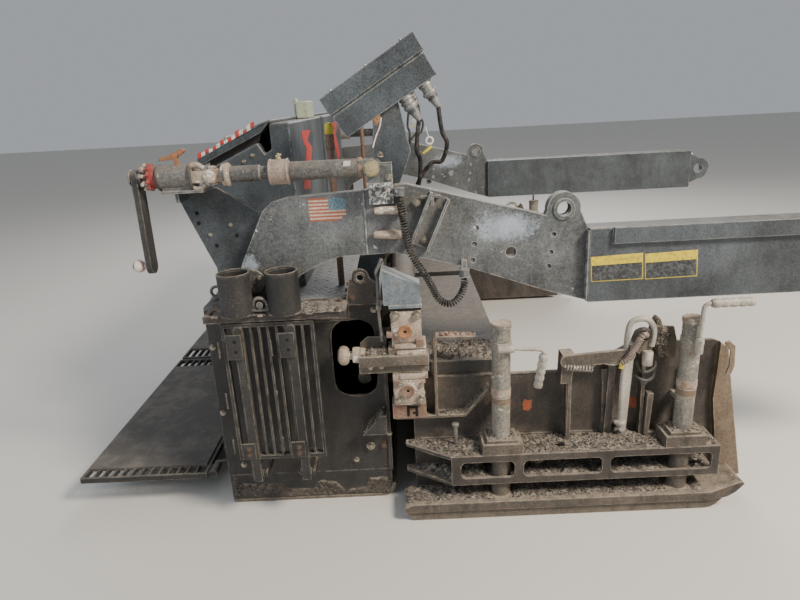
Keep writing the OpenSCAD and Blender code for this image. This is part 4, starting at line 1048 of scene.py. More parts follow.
# Side shelf: rolled rims, weld beads, a shackle that lies between the cups, tie plates and the leaning rods
cupPlaces = [(-600, 1340), (-433, 1340)]
cupRim = [(49.5, 0), (56.9, 0), (57.1, 3), (57.0, 8.5), (54.6, 10.4), (51, 9), (49.5, 5)]
shelfEdge = 1377
cupWelds = [([(x + du, min(y + dv, shelfEdge), 871.5) for du, dv in ellipse(58.5, 58.5, 16)], 4.2, -x)
            for x, y in cupPlaces]
# x, y and z of the shackle's bow all follow one angle
shackleBow = [(x - 516, 1352 + 8 * math.sin(fullTurn * k / 12), 905 + z)
              for k, (x, z) in enumerate(ellipse(24, 26, 12))]
sideShelf = {
    "cupRims": ("grimyPlate", "painted_steel", *each(addTurned, [
        (cupRim, (x, y, 1012), (x, y, 1020), 40) for x, y in cupPlaces])),
    "shelfWelds": ("grimyPlate", "grimy_steel", *each(addWeld, cupWelds + [
        ([(-722, 1224, 871), (-560, 1224, 871), (-380, 1224, 871), (-224, 1224, 871)], 4.5),
        ([(-716, 1222, 786), (-500, 1222, 786), (-226, 1222, 786)], 4)])),
    "shackle": ("wornTube", "bare_steel", (addTube, shackleBow, 6),
                (addRod, (-545, 1352, 884), (-488, 1352, 884), 7),
                (addRod, (-516, 1340, 905), (-516, 1364, 905), 12)),
    "leaningRod": ("wornTube", "bare_steel", (
        addTube, [(-86, 1292, 1032), (-98, 1292, 1006), (-109, 1292, 984), (-106, 1292, 962), (-107, 1292, 900),
                  (-108, 1292, 850), (-106, 1291, 790), (-102, 1290, 722)], 6.5)),
    "rodClip": ("wornTube", "bare_steel", (addBlock, (-116, 1284, 846), (-96, 1302, 862), 2),
                (addBlock, (-112, 1226, 850), (-100, 1286, 858), 2)),
    "shelfEye": ("scouredPlate", "grimy_steel", (
        addTurned, [(12, 0), (21, 0), (22, 2), (22, 5), (20, 6), (13, 6)], (-170, 1246, 954), (-170, 1256, 954))),
    "shelfBolts": ("rustyBolt", "bare_steel", *each(addBolt, [
        (-118, 1246, 880, "out", 0.9), (-205, 1246, 880, "out", 0.9), (-690, 1228, 826, "out", 0.9),
        (-450, 1228, 826, "out", 0.9), (-260, 1228, 826, "out", 0.9), (-640, 1372, 869, "up", 0.7),
        (-250, 1350, 869, "up", 0.9), (-250, 1250, 869, "up", 0.9)])),
}
dress("root", sideShelf)


# End step: pads behind the leg heads with their holes as painted shade, bolts and welds
legX = [-661, -475]
endStep = {
    "stepPads": ("grimyPlate", "grimy_steel", *each(addBlock, [
        ((x + 14, 1378, low), (x + width, 1384, high), 1.5)
        for x in legX for width, low, high in ((70, 712, 806), (66, 306, 372))])),
    # painted shade: near-black discs on the pads for the shade in their holes
    "stepHoleShades": ("darkHollow", "grimy_steel", *each(addRod, [
        ((x + 46, 1383, z), (x + 46, 1384.6, z), 6.5) for x in legX for z in (780, 742)])),
    "stepBolts": ("rustyBolt", "bare_steel", *each(addBolt, [
        (x + 42, 1384, z, "out", 0.8) for x in legX for z in (350, 324)])),
    "stepWelds": ("grimyPlate", "grimy_steel", *each(addWeld, [
        ([(x - 15, 1377, z), (x - 15, 1377, z + 60)], 3, z) for x in legX for z in (330, 520, 720)])),
}
dress("step", endStep)


# End plate: bolts, hole rim and the cap behind the hole
endPlate = {
    "endPlateBolts": ("zincBolt", "bare_steel", *each(addBolt, [
        (-178, 1220, 241, "out", 1.3), (-752, 1220, 700, "out", 0.9), (-752, 1220, 420, "out", 0.9),
        (-130, 1220, 820, "out", 0.9), (-300, 1220, 820, "out", 0.9), (-240, 1220, 180, "out", 0.9),
        (-700, 1220, 180, "out", 0.9), (-99, 1230, 660, "out", 0.8), (-99, 1230, 300, "out", 0.8)])),
    "endPlateRustyBolt": ("rustyBolt", "bare_steel", (addBolt, -126, 1220, 243, "out", 1.25)),
    "holeRim": ("grimyPlate", "painted_steel", (addTube, [(x, 1221, z) for x, z in (
        (-300, 545), (-300, 710), (-288, 757), (-255, 783), (-215, 786), (-180, 786), (-145, 766), (-131, 730),
        (-130, 640), (-130, 540), (-142, 495), (-180, 470), (-235, 469), (-280, 488), (-298, 525), (-300, 545))], 3)),
    "innerCap": ("chalkyTube", "bare_steel", (
        addTurned, [(0, 0), (26, 0), (28, 3), (26, 10), (20, 13), (0, 13)], (-190, 1120, 500), (-190, 1150, 500))),
}
dress("root", endPlate)
print("brackets, shelves and steps dressed")


# Deck: raised tread bars in two crossed rows, and lifting eyes
deckTread = {
    "areas": [((-780, 1014), (-120, 1212)), ((-396, 30), (-120, 990))],
    "turns": [(0.785, 0), (-0.785, 22)],
    "pitch": 44,
    "bar": (27, 6.5, 1.6),
    "margin": 16,
    "deckTop": 860,
    "sink": 0.3,
}


def addTread(side, low, high, turn, shift, look):
    pitch, margin = look["pitch"], look["margin"]
    length, width, height = look["bar"]
    pick()
    bpy.ops.mesh.primitive_cylinder_add(vertices=8, radius=1, depth=1)
    bar = bpy.context.object
    bar.scale = (length / 2 * mm, width / 2 * mm, height * mm)
    bar.rotation_euler = (0, 0, turn * side)
    bar.location = at(low[0] + margin + shift, low[1] + margin + shift, look["deckTop"] + height / 2 - look["sink"],
                      side)
    settle("treadBar", 0.6, 1)
    for axis, step in enumerate(((pitch * mm, 0, 0), (0, side * pitch * mm, 0))):
        room = high[axis] - low[axis] - 2 * margin - shift
        applyModifier(bar, "ARRAY", count=max(1, int(room / pitch)), use_relative_offset=False,
                      use_constant_offset=True, constant_offset_displace=step)
    return bar


deckEyes = [(-740, 1110), (-140, 300)]
deck = {
    "deckTread": ("charcoalEnamel", "painted_steel", *each(addTread, [
        (low, high, turn, shift, deckTread) for low, high in deckTread["areas"]
        for turn, shift in deckTread["turns"]])),
    "deckEyes": ("wornTube", "bare_steel", *each(addTurned, [
        ([(0, 0), (24, 0), (24, 8), (16, 12), (0, 12)], (x, y, 859), (x, y, 871)) for x, y in deckEyes]),
        *each(addTube, [([(x + u, y, 888 + v) for u, v in ellipse(22, 20, 12, -math.pi / 2)], 6)
                        for x, y in deckEyes])),
}
dress("root", deck)


# Depth screw: toothed wheel with its stubs, clip, end rings, joint, grease nipple, tag and the pin of the nut
toothedWheel = {
    "teeth": 11,
    "tooth": [(0.0, 33), (0.2, 35), (0.32, 45), (0.52, 46), (0.66, 37), (0.8, 33)],
    "stubs": 9,
    "stubTurn": 0.2,
    "stubReach": (26, 45),
}
screwY, screwZ = 1304, 1350
wheelZ = screwZ + 4


def onWheel(angle, reach):
    return screwY + reach * math.cos(angle), wheelZ + reach * math.sin(angle)


def wheelOutline(look):
    return [onWheel(fullTurn * (k + part) / look["teeth"], reach)
            for k in range(look["teeth"]) for part, reach in look["tooth"]]


def wheelStubs(look):
    angles = [fullTurn * k / look["stubs"] + look["stubTurn"] for k in range(look["stubs"])]
    inner, outer = look["stubReach"]
    return [((-850, *onWheel(a, inner)), (-856, *onWheel(a, outer)), 6, 12, 1.5) for a in angles]


# A turned shape on the screw's axis, between two x
def onScrew(profile, start, end, steps=28, z=screwZ):
    return addTurned, profile, (start, screwY, z), (end, screwY, z), steps


screwHousing = {
    "toothedWheel": ("chalkedRed", "painted_steel", (addPlate, wheelOutline(toothedWheel), -842, -830, 1.5, "front")),
    "wheelStubs": ("flakedCream", "painted_steel", *each(addRod, wheelStubs(toothedWheel))),
    "crankWashers": (
        "wornTube", "bare_steel",
        onScrew([(18, 0), (24, 0), (25, 2), (25, 8), (23, 10), (18, 10)], -874, -860, z=wheelZ),
        onScrew([(12, 0), (26, 0), (28, 2), (28, 5), (26, 7), (12, 7)], -898, -910, z=wheelZ)),
    "housingClip": ("orangeRust", "rusty_steel", (
        addPlate, [(-799, 1404), (-796, 1415), (-762, 1423), (-722, 1441), (-709, 1437), (-714, 1428), (-738, 1415),
                   (-737, 1388), (-748, 1388), (-750, 1409)], 1294, 1314, 1.5)),
    "housingRings": (
        "grimyPlate", "painted_steel",
        onScrew([(40, 0), (47, 0), (49, 2), (49, 9), (47, 11), (40, 11)], -701, -688, 40),
        onScrew([(40, 0), (43, 0), (44, 1.5), (44, 6), (43, 8), (40, 8)], -809, -800, 40)),
    "jointFork": (
        "flakedCream", "rusty_steel",
        (addTube, [(-704, 1322, 1374), (-688, 1326, 1387), (-668, 1326, 1388), (-652, 1324, 1376)], 8.5),
        (addTube, [(-704, 1322, 1326), (-688, 1326, 1313), (-668, 1326, 1312), (-652, 1324, 1324)], 8.5),
        (addTurned, [(0, 0), (20, 0), (21, 2), (21, 6), (18, 8), (12, 8), (11, 6.5), (0, 6.5)],
         (-630, 1338, 1350), (-630, 1354, 1350))),
}
jointCap = [(0, 0), (15, 0), (16, 2), (15, 7), (9, 9), (0, 9)]
screwPieces = {
    "jointCaps": (
        "flakedCream", "rusty_steel",
        (addTurned, jointCap, (-630, 1304, 1372), (-630, 1304, 1390)),
        (addTurned, jointCap, (-630, 1304, 1328), (-630, 1304, 1310)),
        onScrew([(30, 0), (37, 0), (39, 3), (39, 9), (36, 13), (30, 14)], -584, -570, 40)),
}
collarRim = [(38, 0), (42, 0), (43.5, 2), (43.5, 6), (42, 8), (38, 8)]
nutPieces = {
    "greaseNipple": (
        "bronzeBolt", "bare_steel", (addRod, (-405, 1304, 1389), (-405, 1304, 1397), 9, 6, 1),
        (addTurned, [(0, 0), (5, 0), (5, 6), (3.4, 7.5), (3.4, 9), (5, 10.5), (4.6, 13), (2, 15), (0, 15)],
         (-405, 1304, 1396), (-405, 1304, 1412)),
        (addRod, (-414, 1308, 1400), (-396, 1300, 1406), 3.4)),
    "collarRims": ("pinkCream", "bare_steel", onScrew(collarRim, -438, -430, 40), onScrew(collarRim, -381, -373, 40)),
    "tubeRing": ("rustyCasting", "rusty_steel", onScrew(
        [(28, 0), (33, 0), (34.5, 2), (34.5, 12), (33, 14), (28, 14)], -144, -130, 36)),
    "tubeTag": ("whiteTag", "bare_steel", (
        addPlate, [(-192, 1359), (-189, 1377), (-166, 1376), (-168, 1360)], 1326, 1334.5, 1)),
}
dress("root", screwHousing)
dress("screw", screwPieces)
dress("nut", nutPieces)


# Arm: decal of weathered stripes, blank yellow-banded plates, weld beads, cream pins, bolts and pipe edge
decal = {
    "low": (-326, 1172),
    "high": (-199, 1251),
    "rows": 13,
    "cantonRows": 7,
    "cantonFrom": -258,
    "cutRow": 9,
    "depth": (1271.6, 1272.8),
}


# Red stripes, white stripes and the corner of the decal; its lower front corner is torn away row by row
def decalShapes(look):
    (x0, z0), (x1, z1) = look["low"], look["high"]
    row = (z1 - z0) / look["rows"]
    cantonLow = z1 - look["cantonRows"] * row
    strips = []
    for k in range(look["rows"]):
        top = z1 - k * row
        end = look["cantonFrom"] if k < look["cantonRows"] else x1 - max(0, k - look["cutRow"]) * 7
        slant = 3 if k > look["cutRow"] else 0
        strips.append(([(x0, top), (end, top), (end - slant, top - row), (x0 + 0.4, top - row)], *look["depth"], 0))
    canton = [(look["cantonFrom"], z1), (x1 - 16, z1), (x1, z1 - 9), (x1, cantonLow), (look["cantonFrom"], cantonLow)]
    return each(addPlate, strips[::2]), each(addPlate, strips[1::2]), (addPlate, canton, *look["depth"], 0)


# Rim, dark field and yellow band of a blank plate
def blankPlate(outline):
    a, b, c, d = [Vector(p) for p in outline]
    a2, b2, c2, d2 = a + Vector((3, -3)), b + Vector((-3, -3)), c + Vector((-3, 3)), d + Vector((3, 3))
    field = [a2.lerp(d2, 0.34), b2.lerp(c2, 0.34), c2, d2]
    band = [a2, b2, b2.lerp(c2, 0.33), a2.lerp(d2, 0.33)]
    return ((addPlate, outline, 1301.6, 1302.6, 0.3), (addPlate, field, 1302.4, 1303.0, 0),
            (addPlate, band, 1302.4, 1303.0, 0))


def armPin(start, end):
    length = end[0] - start[0]
    return (addTurned, [(0, 0), (9, 0), (13, 7), (15.5, length * 0.7), (14.5, length - 3), (0, length)], start, end)


redStripes, whiteStripes, decalCorner = decalShapes(decal)
rims, fields, bands = zip(*[blankPlate(outline) for outline in (
    [(645, 1003), (826, 1009), (833, 914), (650, 912)], [(833, 1005), (1016, 1011), (1023, 915), (840, 912)])])
eyeRim = [(24, 0), (36, 0), (38, 2), (38, 5), (36, 7), (24, 7)]
armWelds = [[(-135, 1273, 1048), (-135, 1273, 1268)], [(638, 1276, 842), (638, 1276, 1098)],
            [(636, 1300, 842), (636, 1300, 1098)], [(642, 1296, 1104), (760, 1296, 1104)]]
beamEnd = 2140
arm = {
    "nutPinHead": (
        "bronzeBolt", "bare_steel", (addRod, (-98, 1362, 1350), (-98, 1376, 1350), 23, 6, 2.5),
        (addTurned, [(0, 0), (25, 0), (26, 1), (26, 3), (25, 4), (0, 4)], (-98, 1359, 1350), (-98, 1364, 1350))),
    "trunnionNuts": ("zincBolt", "bare_steel", (addBolt, -44, 1354, 1320, "out", 0.8),
                     (addBolt, -70, 1310, 1386, (0.2, 0.3, 1), 1.0)),
    "decalRedStripes": ("decalRed", "painted_steel", *redStripes),
    "decalWhiteStripes": ("decalWhite", "painted_steel", *whiteStripes),
    "decalCanton": ("decalBlue", "painted_steel", decalCorner),
    "plateRims": ("signYellow", "painted_steel", *rims),
    "plateFields": ("signBlack", "painted_steel", *fields),
    "plateBands": ("signYellow", "painted_steel", *bands),
    "armPins": ("flakedCream", "rusty_steel", armPin((-72, 1290, 1202), (0, 1290, 1200)),
                armPin((-108, 1290, 1118), (-10, 1290, 1114))),
    "armWelds": ("scuffedEnamel", "painted_steel", *each(addWeld, [
        (line, 3.4, 5 + k) for k, line in enumerate(armWelds)])),
    "armBolts": ("zincBolt", "bare_steel", *each(addBolt, [
        (130, 1272, 1203, "out", 1.15), (97, 1272, 1108, "out", 1.0), (46, 1282, 1222, "out", 1.1),
        (66, 1282, 1092, "out", 0.9)])),
    "liftEyeRims": ("scuffedEnamel", "painted_steel", (addTurned, eyeRim, (554, 1271, 1172), (554, 1278, 1172), 36),
                    (addTurned, eyeRim, (554, 1233, 1172), (554, 1226, 1172), 36)),
    # clamp that holds the tilted channel
    "channelClamp": ("wornTube", "bare_steel", (addBlock, (60, 1282, 1236), (126, 1300, 1246), 2),
                     (addBlock, (92, 1300, 1214), (104, 1318, 1240), 2)),
    # bolted cover at the end of the beam
    "beamCover": ("charcoalEnamel", "painted_steel", (
        addBlock, (beamEnd - 3, 1212, 850), (beamEnd + 4, 1292, 1090), 2)),
    "beamBolts": ("zincBolt", "bare_steel", *each(addBolt, [
        (beamEnd + 4, y, z, "front", 1.0) for y in (1220, 1284) for z in (862, 1078)])),
}
dress("arm", arm)


# Pivot plate above the deck: holes as painted shade, bolts and the head of the arm pin
upright = {
    # painted shade: near-black discs on the plate for the shade in its holes
    "uprightHoleShades": ("darkHollow", "painted_steel", *each(addRod, [
        ((x, 1216, z), (x, 1220.6, z), 7.5, 16, 0)
        for x, z in ((-732, 1213), (-731, 1177), (-601, 1126), (-678, 1093))])),
    "uprightBolts": ("zincBolt", "bare_steel", *each(addBolt, [
        (-618, 1220, 1165, "out", 0.55), (-695, 1220, 1133, "out", 0.55), (-660, 1220, 905, "out", 0.6),
        (-480, 1220, 905, "out", 0.55)])),
    "armPinHead": ("wornTube", "bare_steel", (
        addTurned, [(0, 0), (44, 0), (46, 2), (46, 6), (44, 8), (20, 8), (18, 6), (0, 6)], (-550, 1281, 970),
        (-550, 1290, 970), 40)),
    "armPinBolts": ("zincBolt", "bare_steel", *each(addBolt, [
        (-550 + 30 * math.cos(a), 1289, 970 + 30 * math.sin(a), "out", 0.6) for a in (0.5, 2.6, 4.7)])),
    "uprightWelds": ("grimyPlate", "painted_steel", (
        addWeld, [(-690, 1221, 862), (-620, 1221, 862), (-480, 1221, 862)], 4, 9)),
}
dress("root", upright)


# Cabinet and hood: stripe, tape, bolts, seams, doors with hinges and pulls on the rear face, and a yellow-topped can
tape = {
    "start": (-770, 1384),
    "end": (-541, 1488),
    "blocks": 15,
    "height": 17,
}


# Crooked blocks of tape along a sloping line
def tapeBlocks(look):
    (xa, za), (xb, zb) = look["start"], look["end"]
    dice = random.Random(21)
    blocks = []
    for k in range(look["blocks"]):
        s, t = k / look["blocks"], (k + 1) / look["blocks"]
        low, high = dice.uniform(-4, 4), look["height"] + dice.uniform(-6, 7)
        left, right = (xa + (xb - xa) * s, za + (zb - za) * s), (xa + (xb - xa) * t, za + (zb - za) * t)
        outline = [(left[0], left[1] + low), (right[0], right[1] + low), (right[0], right[1] + high),
                   (left[0], left[1] + high)]
        blocks.append((outline, 1000 + dice.uniform(-4, 3), 1006, 0.6))
    return each(addPlate, blocks)


doorPlaces = (110, 420, 730)
blocksOfTape = tapeBlocks(tape)
cabinet = {
    "cabinetStripe": ("freshRed", "painted_steel", (
        addPlate, [(745, 1458), (560, 1452), (470, 1450), (600, 1412), (470, 1374), (655, 1205), (842, 1230),
                   (640, 1374), (722, 1412)], -410.5, -408.8, 0, "front")),
    "tapeRed": ("freshRed", "painted_steel", *blocksOfTape[::2]),
    "tapeWhite": ("whiteTag", "painted_steel", *blocksOfTape[1::2]),
    "cabinetBolts": ("zincBolt", "bare_steel", *each(addBolt, [
        (-563, 1000, 1386, "out", 0.62), (-598, 1000, 1364, "out", 0.62), (-430, 1000, 1000, "out", 0.55),
        (-660, 1000, 900, "out", 0.55), (-430, 1000, 900, "out", 0.55)])),
    "cabinetSeams": ("charcoalEnamel", "painted_steel", (addBlock, (-700, 996, 880), (-412, 1001.5, 890), 0.8),
                     (addBlock, (-418, 996, 880), (-412, 1001.5, 1480), 0.8)),
    "cabinetDoors": ("charcoalEnamel", "painted_steel", *each(addBlock, [
        ((-704, y, 900), (-699, y + 280, 1150), 1.5) for y in doorPlaces])),
    "cabinetHandles": ("zincBolt", "bare_steel", *each(addTube, [
        ([(-704, y + 110, 1120), (-722, y + 112, 1120), (-722, y + 168, 1120), (-704, y + 170, 1120)], 4.5)
        for y in doorPlaces])),
    "cabinetHinges": ("charcoalEnamel", "painted_steel", *each(addRod, [
        ((-708, y + 2, z - 18), (-708, y + 2, z + 18), 6) for y in doorPlaces for z in (930, 1110)])),
    "hoodGrips": ("wornTube", "bare_steel", *each(addTube, [
        ([(-700, y, 1416), (-712, y, 1442), (-713, y + 12, 1448), (-713, y + 108, 1448), (-712, y + 120, 1442),
          (-700, y + 120, 1416)], 6) for y in (280, 680)])),
    "filterCan": ("rustyCasting", "rusty_steel", (
        addTurned, [(0, 0), (15, 0), (17, 3), (17, 56), (14, 60), (0, 60)], (-265, 1000, 1390), (-265, 1000, 1450)),
        (addRod, (-265, 1000, 862), (-265, 1000, 1392), 13)),
    "filterCap": ("yellowEnamel", "painted_steel", (
        addTurned, [(0, 0), (16, 0), (17.5, 4), (16, 34), (12, 40), (0, 41)], (-265, 1000, 1450),
        (-265, 1000, 1503))),
}
dress("root", cabinet)


# Control box: connectors with their leads, tags, the screws of its lid and of its post, and a rusty tab and wire
boxTilt = math.radians(31)
boxCorner = (-187, 1440)


# A place on the tilted control box: u along it, w up from its floor
def onBox(u, y, w):
    return (boxCorner[0] + u * math.cos(boxTilt) - w * math.sin(boxTilt), y,
            boxCorner[1] + u * math.sin(boxTilt) + w * math.cos(boxTilt))


connectorShell = [(0, 0), (24, 0), (25, 2), (25, 14), (21, 16), (21, 30), (23, 32), (23, 48), (19, 52), (0, 52)]
connectorTail = [(0, 0), (16, 0), (17, 8), (13, 30), (9, 44), (0, 44)]
connectorNut = [(20, 0), (26, 0), (27, 1.5), (27, 9), (26, 11), (20, 11)]
connectorPlaces = (246, 326)
leadEnds = [onBox(u, 1124, -90) for u in connectorPlaces]
controlBox = {
    "connectors": ("connectorShell", "bare_steel", *[
        (addTurned, profile, onBox(u, 1124, top), onBox(u, 1124, bottom), steps) for u in connectorPlaces
        for profile, top, bottom, steps in ((connectorShell, 2, -60, 28), (connectorTail, -50, -96, 28),
                                            (connectorNut, -32, -44, 12))]),
    "controlLeads": (
        "dustyRubber", "rubber",
        (addTube, [leadEnds[0], (58, 1118, 1390), (70, 1100, 1340), (60, 1080, 1250), (20, 1060, 1150),
                   (-40, 1040, 1050), (-120, 1030, 960), (-150, 1030, 868)], 8),
        (addTube, [leadEnds[1], (150, 1118, 1446), (168, 1108, 1400), (150, 1090, 1340), (110, 1080, 1330),
                   (60, 1060, 1260), (-10, 1040, 1100), (-100, 1010, 950), (-130, 1000, 868)], 8)),
    "leadTag": ("whiteTag", "bare_steel", (
        addTurned, [(9, 0), (14, 0), (15, 1), (15, 3), (14, 4), (9, 4)], (104, 1140, 1416), (104, 1144, 1416)),
        (addTube, [(100, 1140, 1430), (96, 1140, 1446), (92, 1136, 1462)], 1.6)),
    "yellowLead": ("yellowEnamel", "rubber", (addTube, [(80, 1140, 1372), (96, 1142, 1384), (112, 1142, 1396)], 5)),
    "controlBolts": ("zincBolt", "bare_steel", *[
        (addBolt, *onBox(u, 1100, 160), (-0.515, 0, 0.857), 0.5) for u in (40, 188, 336)]),
    "postBolts": ("zincBolt", "bare_steel", *each(addBolt, [
        (-160, 1130, 872, "up", 1.1), (-230, 1130, 872, "up", 1.1), (-160, 1060, 872, "up", 1.1),
        (-230, 1060, 872, "up", 1.1), (-128, 1127, 1196, "out", 0.7), (-104, 1127, 1120, "out", 0.7)])),
    "boxTab": ("orangeRust", "rusty_steel", (
        addPlate, [(-92, 1500), (-66, 1512), (-62, 1496), (-84, 1474)], 1152, 1156, 1)),
    "boxWire": ("bleachedKnob", "bare_steel", (
        addTube, [(-96, 1200, 1405), (-84, 1180, 1440), (-70, 1160, 1470), (-62, 1154, 1502)], 2.6)),
}
dress("root", controlBox)


# Jack cranks: bent round bars in sleeves clamped to the tubes, with ribbed grips; bands and caps of the jack tubes
crankY = 1379.6
jackY = 1331


# A bar or a turned shape in the plane of the cranks
def crankBar(*route):
    return addTube, [(x, crankY, z) for x, z in route], 7.5, 3.0, 5


def crankTurned(profile, start, end, steps):
    return addTurned, profile, (start[0], crankY, start[1]), (end[0], crankY, end[1]), steps


def crankGrip(start, end, ribs=5):
    length = math.hypot(end[0] - start[0], end[1] - start[1])
    rib = length / ribs
    profile = [(0, 0), (11, 0)]
    for k in range(ribs):
        low = rib * k
        profile += [(14.2, low + 3), (16.6, low + length / 14), (16.6, low + rib - 6), (14.4, low + rib - 1.5)]
    return crankTurned(profile + [(12, length - 1), (0, length)], start, end, 28)


# A turned shape round a jack tube
def onJack(profile, x, start, end):
    return addTurned, profile, (x, jackY, start), (x, jackY, end), 40


def tubeBand(x, z, tall):
    profile = [(34, 0), (36.5, 0), (37.5, 2), (37.5, tall - 2), (36.5, tall), (34, tall)]
    return [onJack(profile, x, z - tall / 2, z + tall / 2),
            (addBlock, (x - 14, 1362, z - tall / 2 + 2), (x + 14, 1373, z + tall / 2 - 2), 2)]


crankSleeve = [(0, 0), (13, 0), (14.5, 2), (14.5, 34), (15.6, 36), (15.6, 50), (13, 58), (9, 60), (0, 60)]
jackCap = [(0, -2), (30, -2), (31, 0), (35, 0), (36, 1.5), (36, 6), (34, 7), (30, 4), (0, 3)]
jackLabel = [(34, 0), (35, 0.5), (35, 29), (34, 30)]
jackCranks = {
    "jackCranks": (
        "paleEnamel", "light_painted_steel",
        crankBar((352, 704), (372, 704), (420, 700), (452, 697), (468, 690), (473, 672), (470, 650)),
        crankBar((1018, 690), (1018, 720), (1019, 780), (1020, 812), (1024, 830), (1040, 838), (1070, 838)),
        crankTurned(crankSleeve, (308, 704), (368, 704), 24), crankTurned(crankSleeve, (1018, 652), (1018, 712), 24),
        crankGrip((472, 678), (452, 548)), crankGrip((1044, 838), (1192, 838))),
    "crankBands": ("chalkyTube", "bare_steel", *tubeBand(328, 704, 26), *tubeBand(1012, 682, 34)),
    "jackCaps": ("flakedCream", "bare_steel", onJack(jackCap, 328, 781, 788), onJack(jackCap, 1012, 767, 774)),
    "jackBands": ("tanPlate", "bare_steel", onJack(jackLabel, 328, 470, 500), onJack(jackLabel, 1012, 470, 500)),
}
dress("extension", jackCranks)
for sideName in sides:
    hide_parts("jack_cranks_" + sideName)


# Gate: lever head with its arch, sleeve, spring and wire, the crumb-coated lug, hooks and paint spots
leverSleeve = {
    "route": [(852, 1318, 706), (845, 1326, 712), (832, 1328, 698), (818, 1326, 668), (800, 1324, 636),
              (786, 1322, 612), (770, 1320, 600)],
    "rib": [(8, 0), (12, 0), (13, 1), (13, 3), (12, 4), (8, 4)],
    "ribStep": 7,
}
leverSpring = {
    "start": (566, 589),
    "end": (668, 577),
    "y": 1302,
    "coils": 9,
    "reach": 13,
    "pointsPerTurn": 12,
}
gateLump = [(878, 700), (884, 742), (900, 770), (916, 752), (925, 722), (946, 716), (958, 686), (946, 640),
            (930, 600), (914, 604), (898, 640), (884, 660)]
paintSpot = [(-15, -22), (4, -26), (17, -10), (14, 12), (19, 22), (2, 18), (-12, 25), (-20, 4)]


def sleeveRibs(look):
    line = smoothRoute([Vector(p) for p in look["route"]], look["ribStep"])
    return [(look["rib"], tuple(a), tuple(b), 16) for a, b in zip(line, line[1:])]


def addSpring(side, look, radius):
    (xa, za), (xb, zb) = look["start"], look["end"]
    count = look["coils"] * look["pointsPerTurn"]
    points = []
    for k in range(count + 1):
        t = k / count
        angle = fullTurn * k / look["pointsPerTurn"]
        points.append(at(xa + (xb - xa) * t, look["y"] + look["reach"] * math.cos(angle),
                         za + (zb - za) * t + look["reach"] * math.sin(angle), side))
    return addLine(points, radius, 2)


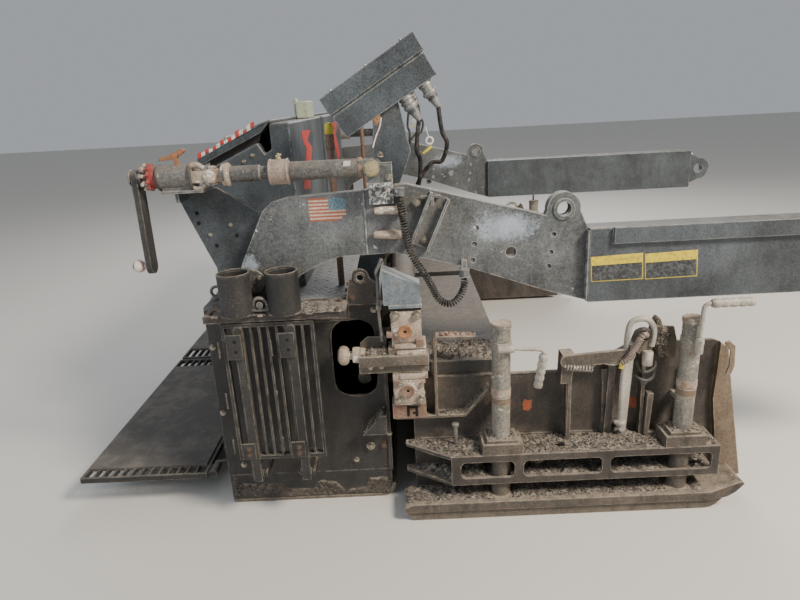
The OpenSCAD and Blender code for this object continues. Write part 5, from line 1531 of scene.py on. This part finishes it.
gate = {
    "leverRods": (
        "paleEnamel", "bare_steel",
        (addTube, [(794, 1300, 700), (797, 1302, 735), (808, 1304, 757), (835, 1306, 766), (862, 1306, 760),
                   (882, 1304, 735), (888, 1302, 700), (884, 1300, 655)], 11),
        (addTube, [(790, 1296, 352), (789, 1298, 480), (791, 1300, 620), (794, 1300, 706)], 11, 12),
        (addTurned, [(0, 0), (19, 0), (23, 5), (23, 13), (16, 19), (0, 20)], (789, 1296, 334), (789, 1296, 354)),
        (addTurned, [(0, 0), (17, 0), (19, 3), (19, 50), (16, 54), (0, 55)], (868, 1312, 640), (866, 1318, 585))),
    "leverSleeve": ("dustyRubber", "rubber", (
        addTube, [(820, 1310, 716), (838, 1316, 728), (860, 1316, 722), (868, 1314, 700), (858, 1316, 682)], 9)),
    "leverSleeveRibs": ("pinkCream", "rubber", (addTube, leverSleeve["route"], 9.5),
                        *each(addTurned, sleeveRibs(leverSleeve))),
    "leverSpring": ("paleEnamel", "bare_steel", (addSpring, leverSpring, 3.2)),
    "leverWire": ("paleEnamel", "bare_steel", (
        addTube, [(668, 1302, 577), (678, 1302, 592), (700, 1303, 600), (730, 1304, 592), (756, 1304, 590),
                  (786, 1306, 602)], 4.5)),
    "yellowTab": ("yellowEnamel", "bare_steel", (
        addPlate, [(764, 576), (768, 604), (788, 600), (782, 574)], 1312, 1316, 1)),
    "crumbLump": ("asphaltCrumbs", "grimy_steel", (addPlate, gateLump, 1262, 1296, 9)),
    "gateStrips": ("scouredPlate", "grimy_steel", *each(addPlate, [
        ([(718, 552), (746, 552), (748, 500), (744, 328), (730, 328), (724, 480)], 1258, 1266, 1.5),
        ([(891, 455), (914, 453), (906, 289), (935, 287), (938, 280), (888, 280)], 1258, 1290, 1.5),
        ([(920, 723), (975, 716), (990, 660), (991, 585), (956, 600), (930, 640)], 1262, 1272, 2),
        ([(583, 276), (600, 276), (598, 530), (586, 530)], 1290, 1298, 1.5)])),
    "postHook": ("tanPlate", "grimy_steel", (
        addPlate, [(1152, 655), (1168, 662), (1192, 640), (1198, 560), (1190, 528), (1168, 526), (1178, 560),
                   (1176, 622), (1160, 632)], 1296, 1304, 1.5)),
    "gateLinks": (
        "grimyPlate", "bare_steel",
        (addTube, [(838, 1290, 590), (850, 1300, 560), (872, 1306, 552), (900, 1300, 566), (906, 1292, 588)], 6.5),
        (addTube, [(820, 1276, 560), (842, 1290, 530), (870, 1296, 512), (902, 1290, 520), (912, 1276, 548)], 7),
        (addRod, (868, 1270, 506), (868, 1300, 506), 13, 6, 2)),
    "paintSpots": ("orangePaint", "painted_steel", *each(addPlate, [
        ([(x + dx, z + dz) for dx, dz in paintSpot], 1240, 1240.8, 0) for x, z in ((857, 395), (446, 404))])),
    "gatePin": ("wornTube", "bare_steel", (addRod, (158, 1300, 270), (158, 1300, 368), 8), (
        addTurned, [(0, 0), (13, 0), (14, 2), (13, 8), (8, 11), (0, 11)], (158, 1300, 362), (158, 1300, 373))),
    "gateWelds": ("grimyPlate", "grimy_steel", *each(addWeld, [
        ([(20, 1242, 278), (300, 1242, 278), (700, 1242, 278), (1130, 1242, 278)], 4, 15),
        ([(50, 1241, 541), (400, 1241, 541), (632, 1241, 541)], 3, 16)])),
    # rolled end of the channel's flange
    "flangeCurl": ("chalkyTube", "grimy_steel", (
        addTube, [(-30, 1246, 272), (-28, 1262, 268), (20, 1296, 262), (80, 1340, 262), (134, 1376, 264)], 5)),
}
dress("extension", gate)
for sideName, side in sides.items():
    grains = makeHeap(side, 41, gateLump, 1296, 9, 0.05, cell=5, upright=True)
    finishPiece("crumbLumpGrains_" + sideName, grains, "asphaltCrumbs", "extension_" + sideName)
bpy.data.objects.remove(boltModel)
print("arms, screws, gates and boxes dressed")


# Studio: pale floor, one broad warm key from the upper right, a cool fill and a soft sky
studio = {
    "floorSize": 60,
    "floorColour": "#c9c6c0",
    "floorRoughness": 0.85,
    "skyColour": "#dfe4ea",
    "skyStrength": 0.5,
    "aim": (0, 0, 0.6),
    "lights": [
        ("keyLight", (3.6, -4.2, 5.2), 1.7, 760, "#fff3e2"),
        ("fillLight", (-4.6, -3.6, 3.0), 4.0, 110, "#dfe8f5"),
        ("backLight", (0.5, 5.0, 4.6), 4.5, 260, "#ffffff"),
    ],
}


def makeStudio(look):
    pick()
    bpy.ops.mesh.primitive_plane_add(size=look["floorSize"])
    floor = bpy.context.object
    floor.name = "studioFloor"
    material, _, shader = newMaterial("studioFloorPaint")
    shader.inputs["Base Color"].default_value = toLinear(look["floorColour"])
    shader.inputs["Roughness"].default_value = look["floorRoughness"]
    floor.data.materials.append(material)
    for name, place, size, power, colour in look["lights"]:
        bpy.ops.object.light_add(type="AREA", location=place)
        light = bpy.context.object
        light.name = name
        light.data.shape = "DISK"
        light.data.size = size
        light.data.energy = power
        light.data.color = toLinear(colour)[:3]
        light.rotation_euler = (Vector(look["aim"]) - light.location).to_track_quat("-Z", "Y").to_euler()
    world = bpy.data.worlds.new("studioSky")
    bpy.context.scene.world = world
    world.use_nodes = True
    sky = world.node_tree.nodes["Background"]
    sky.inputs["Color"].default_value = toLinear(look["skyColour"])
    sky.inputs["Strength"].default_value = look["skyStrength"]


makeStudio(studio)
print("studio lit")
